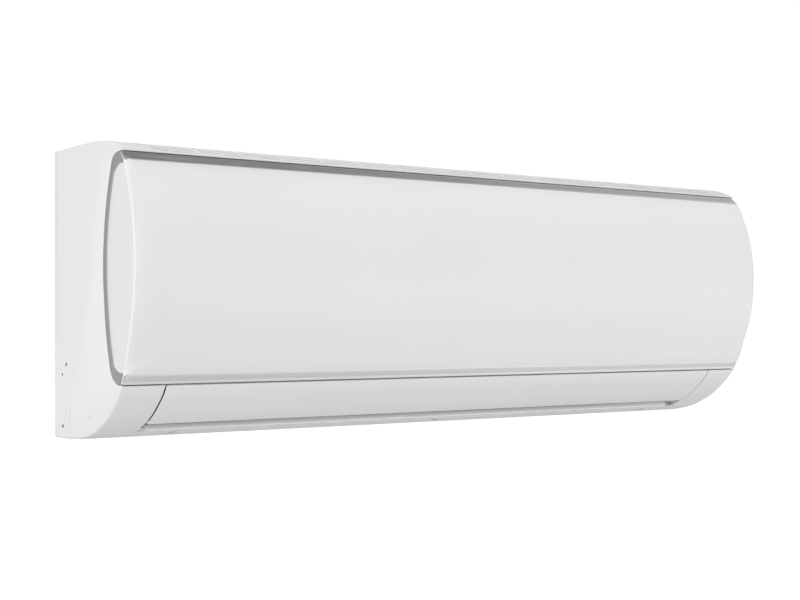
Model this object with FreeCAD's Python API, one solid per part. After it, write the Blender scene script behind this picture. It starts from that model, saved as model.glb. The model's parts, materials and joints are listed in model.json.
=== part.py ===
import FreeCAD, Part
import math
import os

# Wall-mounted indoor unit of a mini split air conditioner.
# Millimetres. +X runs to the right of somebody facing the unit, the wall is the
# plane y = 0, the front faces -Y and +Z is up. The origin is on the wall plane,
# at the middle of the wall plate's outer screw pattern.

V = FreeCAD.Vector

# ---------------------------------------------------------------- dimensions
WIDTH = 835.0                 # overall
HEIGHT = 292.0
HALF = WIDTH / 2
TOP = HEIGHT / 2
SKIN = 2.5                    # moulded wall thickness
SIDE = 3.1                    # thickness of the case's side walls
GAP = 0.8                     # shut line round the opening panel

# outline of the closed unit from the side, as (y, z)
ROOF = [(0, 146), (-38, 146), (-75, 146)]
BROW = [(-75, 146), (-90, 145.6), (-105, 144.9), (-119, 143.8), (-132, 142.2), (-142, 140.2),
        (-150, 137.6), (-157.5, 134.6), (-164.2, 131.0)]
FACE = [(-165.0, 129.3), (-174.6, 121.8), (-184.6, 106.0), (-194.8, 84.5), (-201.2, 63.5),
        (-204.5, 45.0), (-205.5, 28.0), (-203.6, 0.0), (-196.8, -29.0), (-187.0, -52.0),
        (-177.2, -72.6), (-167.6, -86.3)]
BELLY = [(-165.3, -88.2), (-158.4, -97.4), (-147.5, -107.9), (-133.8, -118.9), (-113.0, -130.1),
         (-99.5, -135.9), (-81.0, -140.7), (-66.0, -143.5), (-45.0, -144.9), (-22, -145.7), (0, -146)]
# rear edge of the panel's end returns, bottom to top
ARC = [(-157.0, -86.5), (-149.8, -84.0), (-144.4, -80.4), (-140.6, -75.4), (-137.9, -68.8),
       (-134.9, -58.5), (-131.6, -46.5), (-127.9, -28.0), (-124.8, -5.0), (-123.1, 14.0),
       (-122.9, 30.0), (-124.3, 50.0), (-127.3, 70.0), (-131.4, 88.0), (-136.4, 104.5),
       (-140.4, 115.6), (-142.4, 120.8), (-146.6, 126.0), (-154.7, 128.9)]

PANEL_WALL = 2.5
TRIM_W = 9.5                  # width of the metal-look band round the panel
FILLET = 10.0                 # panel's vertical edges
HINGE = (-165.5, 117.5)       # panel hinge axis (y, z)

# fan and air path
FAN = (-82.0, -30.0)          # fan axis
FAN_R = 47.0
FAN_X = (-362.0, 286.0)
BLADES = 35
FLOOR0 = (-41.0, -79.0)       # where the scroll turns into the straight duct floor
FLOOR1 = (-98.6, -136.1)      # outlet lip
FLAP_AXIS = (-121.0, -110.0)
DUCT_X = 372.5                # inside face of the outlet's end walls
FLAP_X = 371.5
PART_X = 296.0                # partition between the fan and the motor bay

CLAMP_Y = (-132.6, -31.4)      # motor clamp screws

VANE_PITCH = 64.0
VANES_L = [-346.0 + VANE_PITCH * i for i in range(5)]
VANES_R = [-14.0 + VANE_PITCH * i for i in range(5)]
VANE_S = 47.0                 # pivot, along the duct floor from FLOOR0
VANE_PIN_S = 31.0             # link pin

# refrigerant connections: SAE 45 degree flare, 3/8 in gas and 1/4 in liquid
GAS_TUBE_R = 4.7625
LIQ_TUBE_R = 3.175
GAS_THREAD_R = 7.9375         # 5/8-18 UNF
LIQ_THREAD_R = 5.55625        # 7/16-20 UNF
DRAIN_R = 8.0                 # hose spigot

SCREW_HOLE_R = 3.0            # wall plate, for 5 mm wall screws
OUTER_X, OUTER_Z = 600.0, 160.0
INNER_X, INNER_Z = 240.0, 160.0


# ------------------------------------------------------------------- helpers
def box(x0, x1, y0, y1, z0, z1):
    return Part.makeBox(abs(x1 - x0), abs(y1 - y0), abs(z1 - z0),
                        V(min(x0, x1), min(y0, y1), min(z0, z1)))


def cyl(r, p, d, length):
    return Part.makeCylinder(r, length, V(*p), V(*d))


def xcyl(r, yz, x0, x1):
    return Part.makeCylinder(r, abs(x1 - x0), V(min(x0, x1), yz[0], yz[1]), V(1, 0, 0))


def spl(pts, x=0.0):
    c = Part.BSplineCurve()
    c.interpolate([V(x, a, b) for a, b in pts])
    return c


def dense(pts, n=160):
    c = spl(pts)
    a, b = c.FirstParameter, c.LastParameter
    out = []
    for i in range(n):
        p = c.value(a + (b - a) * i / (n - 1))
        out.append((p.y, p.z))
    return out


def off(pts, d):
    """Points moved d to the left of the direction of travel (y to z turned a quarter)."""
    out = []
    n = len(pts)
    for i, (y, z) in enumerate(pts):
        a = pts[max(i - 1, 0)]
        b = pts[min(i + 1, n - 1)]
        ty, tz = b[0] - a[0], b[1] - a[1]
        m = math.hypot(ty, tz)
        out.append((y - tz / m * d, z + ty / m * d))
    return out


def mitre(pts, d):
    """The same for a polyline with corners."""
    out = []
    n = len(pts)
    for i in range(n):
        segs = []
        if i > 0:
            segs.append((pts[i - 1], pts[i]))
        if i < n - 1:
            segs.append((pts[i], pts[i + 1]))
        ns = []
        for a, b in segs:
            ty, tz = b[0] - a[0], b[1] - a[1]
            m = math.hypot(ty, tz)
            ns.append((-tz / m, ty / m))
        ny = sum(v[0] for v in ns)
        nz = sum(v[1] for v in ns)
        m2 = ny * ny + nz * nz
        k = len(ns) * d / m2 if m2 else 0
        if len(ns) == 2:
            k = 2 * d / m2
        out.append((pts[i][0] + ny * k, pts[i][1] + nz * k))
    return out


def thin(pts, n):
    return [pts[round(i * (len(pts) - 1) / (n - 1))] for i in range(n)]


def cut_z(pts, za, zb):
    """The stretch of a dense curve between two heights, ends interpolated."""
    lo, hi = min(za, zb), max(za, zb)
    out = []
    for i in range(len(pts) - 1):
        (y0, z0), (y1, z1) = pts[i], pts[i + 1]
        for zc in ((hi, lo) if z1 < z0 else (lo, hi)):
            if (z0 - zc) * (z1 - zc) < 0:
                t = (zc - z0) / (z1 - z0)
                out.append((y0 + (y1 - y0) * t, zc))
        if lo < z1 < hi:
            out.append((y1, z1))
    return out


def region(segs, x0, x1):
    """Extrude a closed y-z outline along X. Each segment is ('L', pts) or ('S', pts);
    consecutive segments share an end, or a straight edge joins them."""
    edges = []
    last = None
    first = None
    for kind, pts in segs:
        if first is None:
            first = pts[0]
        if last is not None and math.hypot(last[0] - pts[0][0], last[1] - pts[0][1]) > 1e-6:
            edges.append(Part.makeLine(V(x0, *last), V(x0, *pts[0])))
        if kind == "S" and len(pts) > 2:
            edges.append(spl(pts, x0).toShape())
        else:
            for a, b in zip(pts[:-1], pts[1:]):
                edges.append(Part.makeLine(V(x0, *a), V(x0, *b)))
        last = pts[-1]
    if math.hypot(last[0] - first[0], last[1] - first[1]) > 1e-6:
        edges.append(Part.makeLine(V(x0, *last), V(x0, *first)))
    wire = Part.Wire(Part.__sortEdges__(edges))
    return Part.Face(wire).extrude(V(x1 - x0, 0, 0))


def poly(pts, x0, x1):
    return region([("L", pts)], x0, x1)


def strip(pts, t, x0, x1, n=14):
    """A wall of thickness t on the left of a smooth curve."""
    a = thin(pts, n)
    b = thin(off(pts, t), n)
    return region([("S", a), ("S", b[::-1])], x0, x1)


def plate(pts, t, x0, x1):
    """A wall of thickness t on the left of a polyline."""
    return poly(list(pts) + mitre(pts, t)[::-1], x0, x1)


def both(make):
    """A piece and its mirror image across X = 0."""
    s = make()
    return s, s.mirror(V(0, 0, 0), V(1, 0, 0))


def fuse(shapes):
    s = shapes[0]
    if len(shapes) > 1:
        s = s.multiFuse(shapes[1:])
    return s.removeSplitter()


def tube_path(pts, radius):
    """Straight runs joined by tangent arcs."""
    edges = []
    prev = V(*pts[0])
    for i in range(1, len(pts) - 1):
        p, a, b = V(*pts[i]), V(*pts[i - 1]), V(*pts[i + 1])
        d1 = (a - p).normalize()
        d2 = (b - p).normalize()
        ang = d1.getAngle(d2)
        cut = radius / math.tan(ang / 2)
        s, e = p + d1 * cut, p + d2 * cut
        bis = (d1 + d2).normalize()
        centre = p + bis * (radius / math.sin(ang / 2))
        mid = centre + (p - centre).normalize() * radius
        edges.append(Part.makeLine(prev, s))
        edges.append(Part.Arc(s, mid, e).toShape())
        prev = e
    edges.append(Part.makeLine(prev, V(*pts[-1])))
    return Part.Wire(edges)


def tube(pts, r, bend):
    w = tube_path(pts, bend)
    d = (V(*pts[1]) - V(*pts[0])).normalize()
    c = Part.Wire([Part.Circle(V(*pts[0]), d, r).toShape()])
    s = w.makePipeShell([c], True, False)
    return s


# duct frame: s runs down the duct floor, h stands square to it
_fl = math.hypot(FLOOR1[0] - FLOOR0[0], FLOOR1[1] - FLOOR0[1])
DS = ((FLOOR1[0] - FLOOR0[0]) / _fl, (FLOOR1[1] - FLOOR0[1]) / _fl)
DH = (DS[1], -DS[0])


def sh(s, h):
    return (FLOOR0[0] + DS[0] * s + DH[0] * h, FLOOR0[1] + DS[1] * s + DH[1] * h)


NODES = {}


def add(name, shape):
    NODES[name] = shape


# ------------------------------------------------------------ shared outlines
roofbrow = [(0, 146), (-75, 146)]
brow = dense(BROW)
face = dense(FACE, 240)
belly = dense(BELLY, 240)
arc = dense(ARC, 240)


# ---------------------------------------------------------------- wall plate
def wall_plate():
    t = 1.2
    p = box(-385, 385, -t, 0, -96, 126)
    cuts = []
    for x in (-330, -180, -60, 60, 180, 330):
        for z in (-62, 62):
            cuts.append(box(x - 26, x + 26, -5, 5, z - 16, z + 16))
    cuts.append(box(-385, -352, -5, 5, -96, -40))
    cuts.append(box(352, 385, -5, 5, -96, -40))
    ribs = []
    for z in (-22.0, 22.0):
        r = poly([(0, z - 6), (-t, z - 6), (-3.2, z - 3), (-3.2, z + 3), (-t, z + 6), (0, z + 6)], -350, 350)
        g = poly([(0.5, z - 4.6), (-0.2, z - 4.6), (-2.0, z - 2.2), (-2.0, z + 2.2), (-0.2, z + 4.6), (0.5, z + 4.6)], -348.6, 348.6)
        ribs.append((r, g))
    s = p
    for c in cuts:
        s = s.cut(c)
    for r, g in ribs:
        s = s.fuse(r).cut(g)
    holes = []
    for sx, sz in ((OUTER_X, OUTER_Z), (INNER_X, INNER_Z)):
        for i in (-1, 1):
            for j in (-1, 1):
                holes.append(cyl(SCREW_HOLE_R, (i * sx / 2, -6, j * sz / 2), (0, 1, 0), 12))
    for h in holes:
        s = s.cut(h)
    hooks = []
    for x in (-240, 0, 240):
        hooks.append(poly([(-0.6, 104.0), (-11.6, 104.0), (-11.6, 114.5), (-10.4, 114.5), (-10.4, 105.2), (-0.6, 105.2)], x - 16, x + 16))
        hooks.append(box(x - 16, x + 16, -t, 0, 100, 106))
    for x in (-260, 260):
        hooks.append(poly([(0, -96), (0, -100.6), (-10.2, -100.6), (-10.2, -99.4), (-1.2, -99.4), (-1.2, -96)], x - 12, x + 12))
    for h in hooks:
        s = s.fuse(h)
    return s.removeSplitter()


add("wall_plate", wall_plate())


# -------------------------------------------------------------- rear chassis
BACK0, BACK1 = -4.4, -6.9     # back wall of the chassis


def rear_chassis():
    parts = [box(-411, 411, BACK1, BACK0, -98.5, 139.5)]
    # top flange behind the inlet grille
    parts.append(box(-411, 411, -14.0, BACK1, 137.0, 139.5))
    # end walls
    end = poly([(BACK0, -98.5), (BACK0, 139.5), (-60, 139.5), (-108, 136.5), (-114, 100), (-108, 30), (-112, -30),
                (-118, -84), (-104, -98.5)], 408.5, 411)
    parts += [end, end.mirror(V(0, 0, 0), V(1, 0, 0))]
    # rear drip trough under the back coil
    parts.append(poly([(BACK1, 27.5), (-57.5, 27.5), (-57.5, 40.0), (-55.0, 40.0), (-55.0, 30.0), (BACK1, 30.0)], -392, 295.5))
    parts.append(box(-392, -389.5, -57.5, BACK1, 27.5, 48))
    parts.append(box(293.0, 295.5, -57.5, BACK1, 27.5, 48))
    # shelf over the pipe recess
    parts.append(box(-411, 300, -45.0, BACK1, -98.5, -96.0))
    # stiffening ribs behind the scroll
    for x in (-340, -220, -100, 20, 140, 260):
        parts.append(box(x - 1, x + 1, -22.5, BACK1, -97, 28))
    s = fuse(parts)
    for x in (-240, 0, 240):
        s = s.cut(box(x - 18, x + 18, -8, 0, 103.2, 118.0))
    # notch for the drain tube
    s = s.cut(box(-406, -389, -46, -27, -100, -90))
    return s.removeSplitter()


add("rear_chassis", rear_chassis())


# ------------------------------------------------------------------ air duct
def scroll_pts():
    out = []
    r = {32: 51.0, 10: 53.0, -12: 55.6, -30: 58.6}
    for a in (32, 21, 10, -1, -12, -21, -30, -38):
        if a >= -30:
            ks = sorted(r)
            for k0, k1 in zip(ks[:-1], ks[1:]):
                if k0 <= a <= k1:
                    rr = r[k0] + (r[k1] - r[k0]) * (a - k0) / (k1 - k0)
        else:
            rr = 60.8
        t = math.radians(a)
        out.append((FAN[0] + rr * math.cos(t), FAN[1] + rr * math.sin(t)))
    return out


SCROLL = scroll_pts() + [sh(3.0, 0.0)]


def air_duct():
    t = 2.5
    sc = dense(SCROLL, 60)
    wall = strip(sc, t, -DUCT_X, PART_X, 10)
    # the wall lies outside the scroll
    if wall.BoundBox.YMax < max(p[0] for p in sc) + 0.5:
        wall = strip(sc, -t, -DUCT_X, PART_X, 10)
    outer = off(sc, t)
    half = off(sc, t / 2)
    if max(p[0] for p in outer) < max(p[0] for p in sc):
        outer = off(sc, -t)
        half = off(sc, -t / 2)
    floor = poly([sc[-1], sh(_fl - 3.2, 0), sh(_fl - 6.4, -t), outer[-1]], -DUCT_X, PART_X)
    blank = poly([sh(6.0, 0), sh(_fl - 3.2, 0), sh(_fl - 6.4, -t), sh(6.0, -t)], PART_X, DUCT_X)
    parts = [wall, floor, blank]
    # closing wall from the scroll's top edge up to the drip trough
    top = sc[0]
    parts.append(poly([(top[0] + 0.2, top[1] - 1.0), (-45.5, 27.4), (-43.0, 27.4), (top[0] + 2.9, top[1] - 0.2)], -DUCT_X, PART_X))
    # left end wall, with the bearing's seat
    mouth = [sh(_fl - 0.6, -t), sh(0, -t)]
    scroll_out = thin(half, 10)
    under = thin([p for p in off(belly, SKIN + 0.5) if p[0] > -155.6 and p[0] < -104.0], 8)
    tongue = [(-118.0, 27.4), (-128.5, -30.0), (-124.6, -57.6), (-156.2, -82.4)] + under
    full = [sh(_fl - 6.6, -t / 2)] + tongue[::-1] + [(-43.0, 27.4)] + scroll_out
    left = poly(full, -DUCT_X - 2.5, -DUCT_X)
    left = left.cut(xcyl(16.0, FAN, -400, -360))
    left = left.fuse(xcyl(19.0, FAN, -381.0, -DUCT_X).cut(xcyl(16.0, FAN, -400, -360)))
    left = left.cut(xcyl(2.55, FLAP_AXIS, -400, -360))
    parts.append(left)
    # partition at the motor end of the fan
    inner = [sh(52.5, -t / 2), sh(52.5, 50.0), (-120.9, -62.5), (-120.9, -53.0), (-127.5, -30.0), (-118.0, 27.4), (-43.0, 27.4)]
    right = poly(inner + scroll_out, PART_X, PART_X + 2.5).cut(xcyl(20.0, FAN, 280, 320))
    parts.append(right)
    # blank behind the outlet beside the motor bay, and the outlet's right end wall
    parts.append(poly([sh(52, 0), sh(54.5, 0), sh(54.5, 50.0), sh(52, 50.0)], PART_X, DUCT_X))
    rend = poly([sh(_fl - 6.6, -t / 2), sh(52, -t / 2), sh(52, 50.0), (-124.6, -60.6), (-156.2, -82.4)] + under, DUCT_X, DUCT_X + 2.5)
    rend = rend.cut(xcyl(2.55, FLAP_AXIS, 360, 400))
    parts.append(rend)
    # motor cradle
    ring = xcyl(47.5, FAN, 306, 350).cut(xcyl(44.0, FAN, 300, 356))
    ring = ring.cut(box(300, 356, -160, 0, FAN[1] - 2.0, 60))
    parts.append(ring)
    for x in (308, 345):
        web = poly([(-138.0, -32.0), (-26.0, -32.0), (-26.0, -38.0), (-37.5, -60.0), sh(12, -0.5), sh(52.5, -0.5), sh(52.5, 22),
                    (-120.9, -63.0), (-120.9, -53.0), (-128.0, -50.0), (-138.0, -38.0)], x, x + 3)
        parts.append(web.cut(xcyl(45.0, FAN, 290, 360)))
    for y in (-138.0, -44.0):
        parts.append(box(308, 348, y, y + 18.0, -40.0, -32.0).cut(xcyl(44.0, FAN, 290, 360)))
    s = fuse(parts)
    # screw pilots for the motor clamp
    for x in (321, 335):
        for y in CLAMP_Y:
            s = s.cut(cyl(1.4, (x, y, -46), (0, 0, 1), 20))
    # vane pivots in the duct floor
    for x in VANES_L + VANES_R:
        y, z = sh(VANE_S, -6)
        s = s.cut(cyl(2.05, (x, y, z), (0, DH[0], DH[1]), 10))
    return s.removeSplitter()


add("air_duct", air_duct())


# ----------------------------------------------------------------- drain pan
def drain_pan():
    sec = [(-123.2, -63.4), (-157.0, -88.6), (-157.0, -56.0), (-154.8, -56.0), (-154.8, -74.6), (-143.0, -74.6),
           (-128.6, -63.6), (-126.2, -54.0), (-123.6, -54.0), (-121.8, -60.2)]
    body = poly(sec, -DUCT_X + 0.3, DUCT_X - 0.3)
    parts = [body]
    # right and left channels that lead the rear trough's water to the front pan
    for x0, x1 in ((-DUCT_X + 0.3, -DUCT_X + 2.8), (DUCT_X - 2.8, DUCT_X - 0.3)):
        parts.append(poly([(-154.9, -75.0), (-154.9, -56.0), (-126.2, -56.0), (-128.6, -64.0), (-143.0, -75.0)], x0, x1))
    return fuse(parts)


add("drain_pan", drain_pan())

# centre bearing of the flap, clipped under the pan
fs = poly([(-140.5, -76.6), (-132.2, -70.4), (-117.6, -107.2), (-117.3, -111.4), (-119.4, -113.6), (-122.8, -113.6), (-124.8, -111.2)], -2.0, 2.0)
fs = fs.cut(xcyl(2.05, FLAP_AXIS, -5, 5))
add("flap_bearing", fs)


# -------------------------------------------------------------- evaporator
COIL = [((-148.0, -52.0), (-162.5, 36.0)), ((-158.4, 46.3), (-113.0, 106.5)), ((-92.6, 105.6), (-39.5, 47.5))]
COIL_T = 13.0
COIL_X = (-367.0, 290.0)
coil_names = ["coil_front_lower", "coil_front_upper", "coil_rear"]


def slab(i, grow=0.0, x0=COIL_X[0], x1=COIL_X[1]):
    (y0, z0), (y1, z1) = COIL[i]
    m = math.hypot(y1 - y0, z1 - z0)
    d = ((y1 - y0) / m, (z1 - z0) / m)
    n = (-d[1], d[0])
    t = COIL_T + grow
    a = (y0 - d[0] * grow, z0 - d[1] * grow)
    b = (y1 + d[0] * grow, z1 + d[1] * grow)
    return poly([(a[0] + n[0] * t, a[1] + n[1] * t), (b[0] + n[0] * t, b[1] + n[1] * t),
                 (b[0] - n[0] * t, b[1] - n[1] * t), (a[0] - n[0] * t, a[1] - n[1] * t)], x0, x1)


def tube_rows(i):
    (y0, z0), (y1, z1) = COIL[i]
    m = math.hypot(y1 - y0, z1 - z0)
    d = ((y1 - y0) / m, (z1 - z0) / m)
    n = (-d[1], d[0])
    cnt = 4
    pitch = 21.0
    s0 = (m - pitch * (cnt - 1)) / 2
    rows = []
    for side in (-1, 1):
        for k in range(cnt):
            s = s0 + pitch * k + side * 0.0
            rows.append((y0 + d[0] * s + n[0] * 6.7 * side, z0 + d[1] * s + n[1] * 6.7 * side))
    return rows, d


for i, nm in enumerate(coil_names):
    add(nm, slab(i))

endl = fuse([slab(0, 0.6, COIL_X[0] - 1.0, COIL_X[0]), slab(1, 0.6, COIL_X[0] - 1.0, COIL_X[0]), slab(2, 0.6, COIL_X[0] - 1.0, COIL_X[0]),
             poly([(-176.0, 34.5), (-149.0, 34.0), (-148.0, 47.0), (-171.0, 51.0)], COIL_X[0] - 1.0, COIL_X[0]),
             poly([(-120.0, 97.0), (-91.0, 99.0), (-88.5, 120.0), (-123.0, 114.0)], COIL_X[0] - 1.0, COIL_X[0])])
add("coil_plate_left", endl)
endr = fuse([slab(0, 0.6, COIL_X[1], COIL_X[1] + 1.0), slab(1, 0.6, COIL_X[1], COIL_X[1] + 1.0), slab(2, 0.6, COIL_X[1], COIL_X[1] + 1.0),
             poly([(-176.0, 34.5), (-149.0, 34.0), (-148.0, 47.0), (-171.0, 51.0)], COIL_X[1], COIL_X[1] + 1.0),
             poly([(-120.0, 97.0), (-91.0, 99.0), (-88.5, 120.0), (-123.0, 114.0)], COIL_X[1], COIL_X[1] + 1.0)])
add("coil_plate_right", endr)


def u_bend(x, sgn, p, q, r=3.5):
    """A return bend between two tube ends at x, bulging to sgn*X."""
    a, b = V(x, *p), V(x, *q)
    mid = (a + b) * 0.5
    rad = (b - a).Length / 2
    top = mid + V(sgn * rad, 0, 0)
    w = Part.Wire([Part.Arc(a, top, b).toShape()])
    c = Part.Wire([Part.Circle(a, V(1, 0, 0), r).toShape()])
    return w.makePipeShell([c], True, False)


bends = []
for i in range(3):
    rows, d = tube_rows(i)
    for k in range(0, 8, 2):
        bends.append(u_bend(COIL_X[0] - 1.0, -1, rows[k], rows[k + 1]))
    for k in (1, 5):
        bends.append(u_bend(COIL_X[1] + 1.0, 1, rows[k], rows[k + 1]))
add("return_bends", Part.makeCompound(bends))


# -------------------------------------------------------- refrigerant pipes
GAS_YZ, LIQ_YZ = (-19.0, -110.0), (-19.0, -129.0)
_g, _l = tube_rows(2)[0][0], tube_rows(0)[0][3]
gas_pts = [(COIL_X[1] + 1.0, _g[0], _g[1]), (311.0, _g[0], _g[1]), (311.0, -19.0, _g[1]), (311.0,) + GAS_YZ, (128.0,) + GAS_YZ]
liq_pts = [(COIL_X[1] + 1.0, _l[0], _l[1]), (333.0, _l[0], _l[1]), (333.0, -19.0, _l[1]), (333.0,) + LIQ_YZ, (160.0,) + LIQ_YZ]
add("gas_pipe", tube(gas_pts, GAS_TUBE_R, 14.0))
add("liquid_pipe", tube(liq_pts, LIQ_TUBE_R, 12.0))


def union(x1, y, z, tube_r, thread_r, hexr):
    """Flare union on a pipe end: hexagon, male thread and 45 degree nose, pointing to -X."""
    pts = []
    for k in range(6):
        a = math.radians(60 * k)
        pts.append((y + hexr * math.cos(a), z + hexr * math.sin(a)))
    hexa = poly(pts, x1 - 8, x1)
    thr = xcyl(thread_r, (y, z), x1 - 20, x1 - 8)
    nose = Part.makeCone(thread_r * 0.62, thread_r, thread_r * 0.38, V(x1 - 20 - thread_r * 0.38, y, z), V(1, 0, 0))
    s = fuse([hexa, thr, nose])
    s = s.cut(xcyl(tube_r * 0.78, (y, z), x1 - 40, x1 - 2))
    return s


add("gas_union", union(128.0, GAS_YZ[0], GAS_YZ[1], GAS_TUBE_R, GAS_THREAD_R, 11.0))
add("liquid_union", union(160.0, LIQ_YZ[0], LIQ_YZ[1], LIQ_TUBE_R, LIQ_THREAD_R, 8.6))

clamp = box(230, 246, -36.0, -26.0, -140.5, -99.0).fuse(box(230, 246, -26.5, -9.5, -140.5, -99.0))
clamp = clamp.cut(xcyl(GAS_TUBE_R, GAS_YZ, 220, 260)).cut(xcyl(LIQ_TUBE_R, LIQ_YZ, 220, 260))
add("pipe_clamp", clamp.removeSplitter())

DRAIN_YZ = (-36.0, -124.0)
dr = tube([(-372.3, -149.0, -67.0), (-397.4, -149.0, -67.0), (-397.4, -36.0, -76.0), (-397.4,) + DRAIN_YZ, (-349.0,) + DRAIN_YZ], 5.8, 11.0)
dr = fuse([dr, xcyl(DRAIN_R, DRAIN_YZ, -350, -322), xcyl(10.5, DRAIN_YZ, -354, -350)])
dr = dr.cut(xcyl(DRAIN_R - 1.6, DRAIN_YZ, -346, -310))
add("drain_tube", dr)


# ------------------------------------------------------------------ fan group
def fan():
    x0, x1 = FAN_X
    y, z = FAN
    blades = []
    for k in range(BLADES):
        a = 2 * math.pi * k / BLADES
        pts_o, pts_i = [], []
        for j in range(4):
            r = 34.5 + (46.3 - 34.5) * j / 3
            sweep = 0.30 * (1 - (1 - j / 3) ** 1.7)
            for sgn, dst in ((1, pts_o), (-1, pts_i)):
                aa = a + sweep + sgn * 0.55 / r
                dst.append((y + r * math.cos(aa), z + r * math.sin(aa)))
        blades.append(poly(pts_o + pts_i[::-1], x0 + 1.0, x1 - 1.0))
    discs = []
    n = 9
    for i in range(n + 1):
        xx = x0 + (x1 - x0 - 2.0) * i / n
        inner = 33.0
        d = xcyl(FAN_R, FAN, xx, xx + 2.0)
        if 0 < i < n:
            d = d.cut(xcyl(inner, FAN, xx - 1, xx + 3))
        discs.append(d)
    hub_r = xcyl(12.0, FAN, x1 - 24, x1)
    hub_l = xcyl(10.0, FAN, x0, x0 + 14)
    s = blades[0].multiFuse(blades[1:] + discs + [hub_r, hub_l])
    s = s.cut(xcyl(4.0, FAN, x1 - 22, x1 + 5)).cut(xcyl(4.0, FAN, x0 - 5, x0 + 12))
    s = s.cut(cyl(2.0, (x1 - 6.0, y, z + 1.5), (0, 0, 1), 10.9))
    return s


add("crossflow_fan", fan())
add("fan_shaft", Part.makeCompound([xcyl(4.0, FAN, FAN_X[1] - 22, 358.6), xcyl(4.0, FAN, -383.0, FAN_X[0] + 12)]))
add("set_screw", cyl(2.0, (FAN_X[1] - 6.0, FAN[0], FAN[1] + 4.0), (0, 0, 1), 8.0))
add("fan_bearing", xcyl(9.0, FAN, -380.0, -373.0).cut(xcyl(4.05, FAN, -390, -360)))
add("bearing_ring", xcyl(16.0, FAN, -379.5, -373.5).cut(xcyl(9.0, FAN, -390, -360)))

motor = xcyl(41.0, FAN, 303.0, 353.0).fuse(xcyl(18.0, FAN, 299.6, 303.0)).fuse(xcyl(18.0, FAN, 353.0, 357.0))
motor = motor.cut(xcyl(4.05, FAN, 290, 370)).removeSplitter()
add("fan_motor", motor)
rings = [xcyl(44.0, FAN, x, x + 9).cut(xcyl(41.0, FAN, 290, 370)) for x in (306.0, 341.0)]
add("motor_rings", Part.makeCompound(rings))


def motor_clamp():
    ring = xcyl(47.0, FAN, 306, 350).cut(xcyl(44.0, FAN, 300, 356))
    ring = ring.cut(box(300, 356, -160, 0, -100, FAN[1] - 1.4))
    tabs = [box(312, 344, -137.6, -119.0, -31.4, -28.0).cut(xcyl(44.0, FAN, 290, 360)),
            box(312, 344, -45.0, -26.4, -31.4, -28.0).cut(xcyl(44.0, FAN, 290, 360))]
    s = fuse([ring] + tabs)
    for x in (321, 335):
        for y in CLAMP_Y:
            s = s.cut(cyl(1.7, (x, y, -40), (0, 0, 1), 20))
    return s.removeSplitter()


add("motor_clamp", motor_clamp())
scr = []
for x in (321, 335):
    for y in CLAMP_Y:
        scr.append(cyl(1.4, (x, y, -43.0), (0, 0, 1), 15.1).fuse(cyl(3.2, (x, y, -28.0), (0, 0, 1), 2.4)).removeSplitter())
add("clamp_screws", Part.makeCompound(scr))


# --------------------------------------------------------------- front case
LIP = BROW[-1]


def sign_out(pts, d, ref):
    """Offset away from the point ref."""
    a = off(pts, d)
    k = len(pts) // 2
    if math.hypot(a[k][0] - ref[0], a[k][1] - ref[1]) < math.hypot(pts[k][0] - ref[0], pts[k][1] - ref[1]):
        a = off(pts, -d)
    return a


# the panel's outline grown by the shut line, as a closed outline
door_arc = sign_out(thin(arc, 60), GAP, (-165.0, 20.0))
door_hole = [("L", [(-240.0, 130.1), (-165.0, 130.1), door_arc[-1]]), ("S", door_arc[::-1]), ("L", [door_arc[0], (-167.6, -87.3), (-240.0, -87.3)])]

FRAME = [(-163.6, 130.4), (-149.5, 130.4), (-149.5, 112.0), (-163.0, 97.0), (-176.0, 72.0), (-184.0, 40.0), (-186.0, 10.0),
         (-183.0, -20.0), (-176.0, -45.0), (-167.0, -64.0), (-160.2, -79.0), (-159.2, -91.5)]
WIN = [(-366.0, -41.5), (-35.5, 289.0)]


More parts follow.
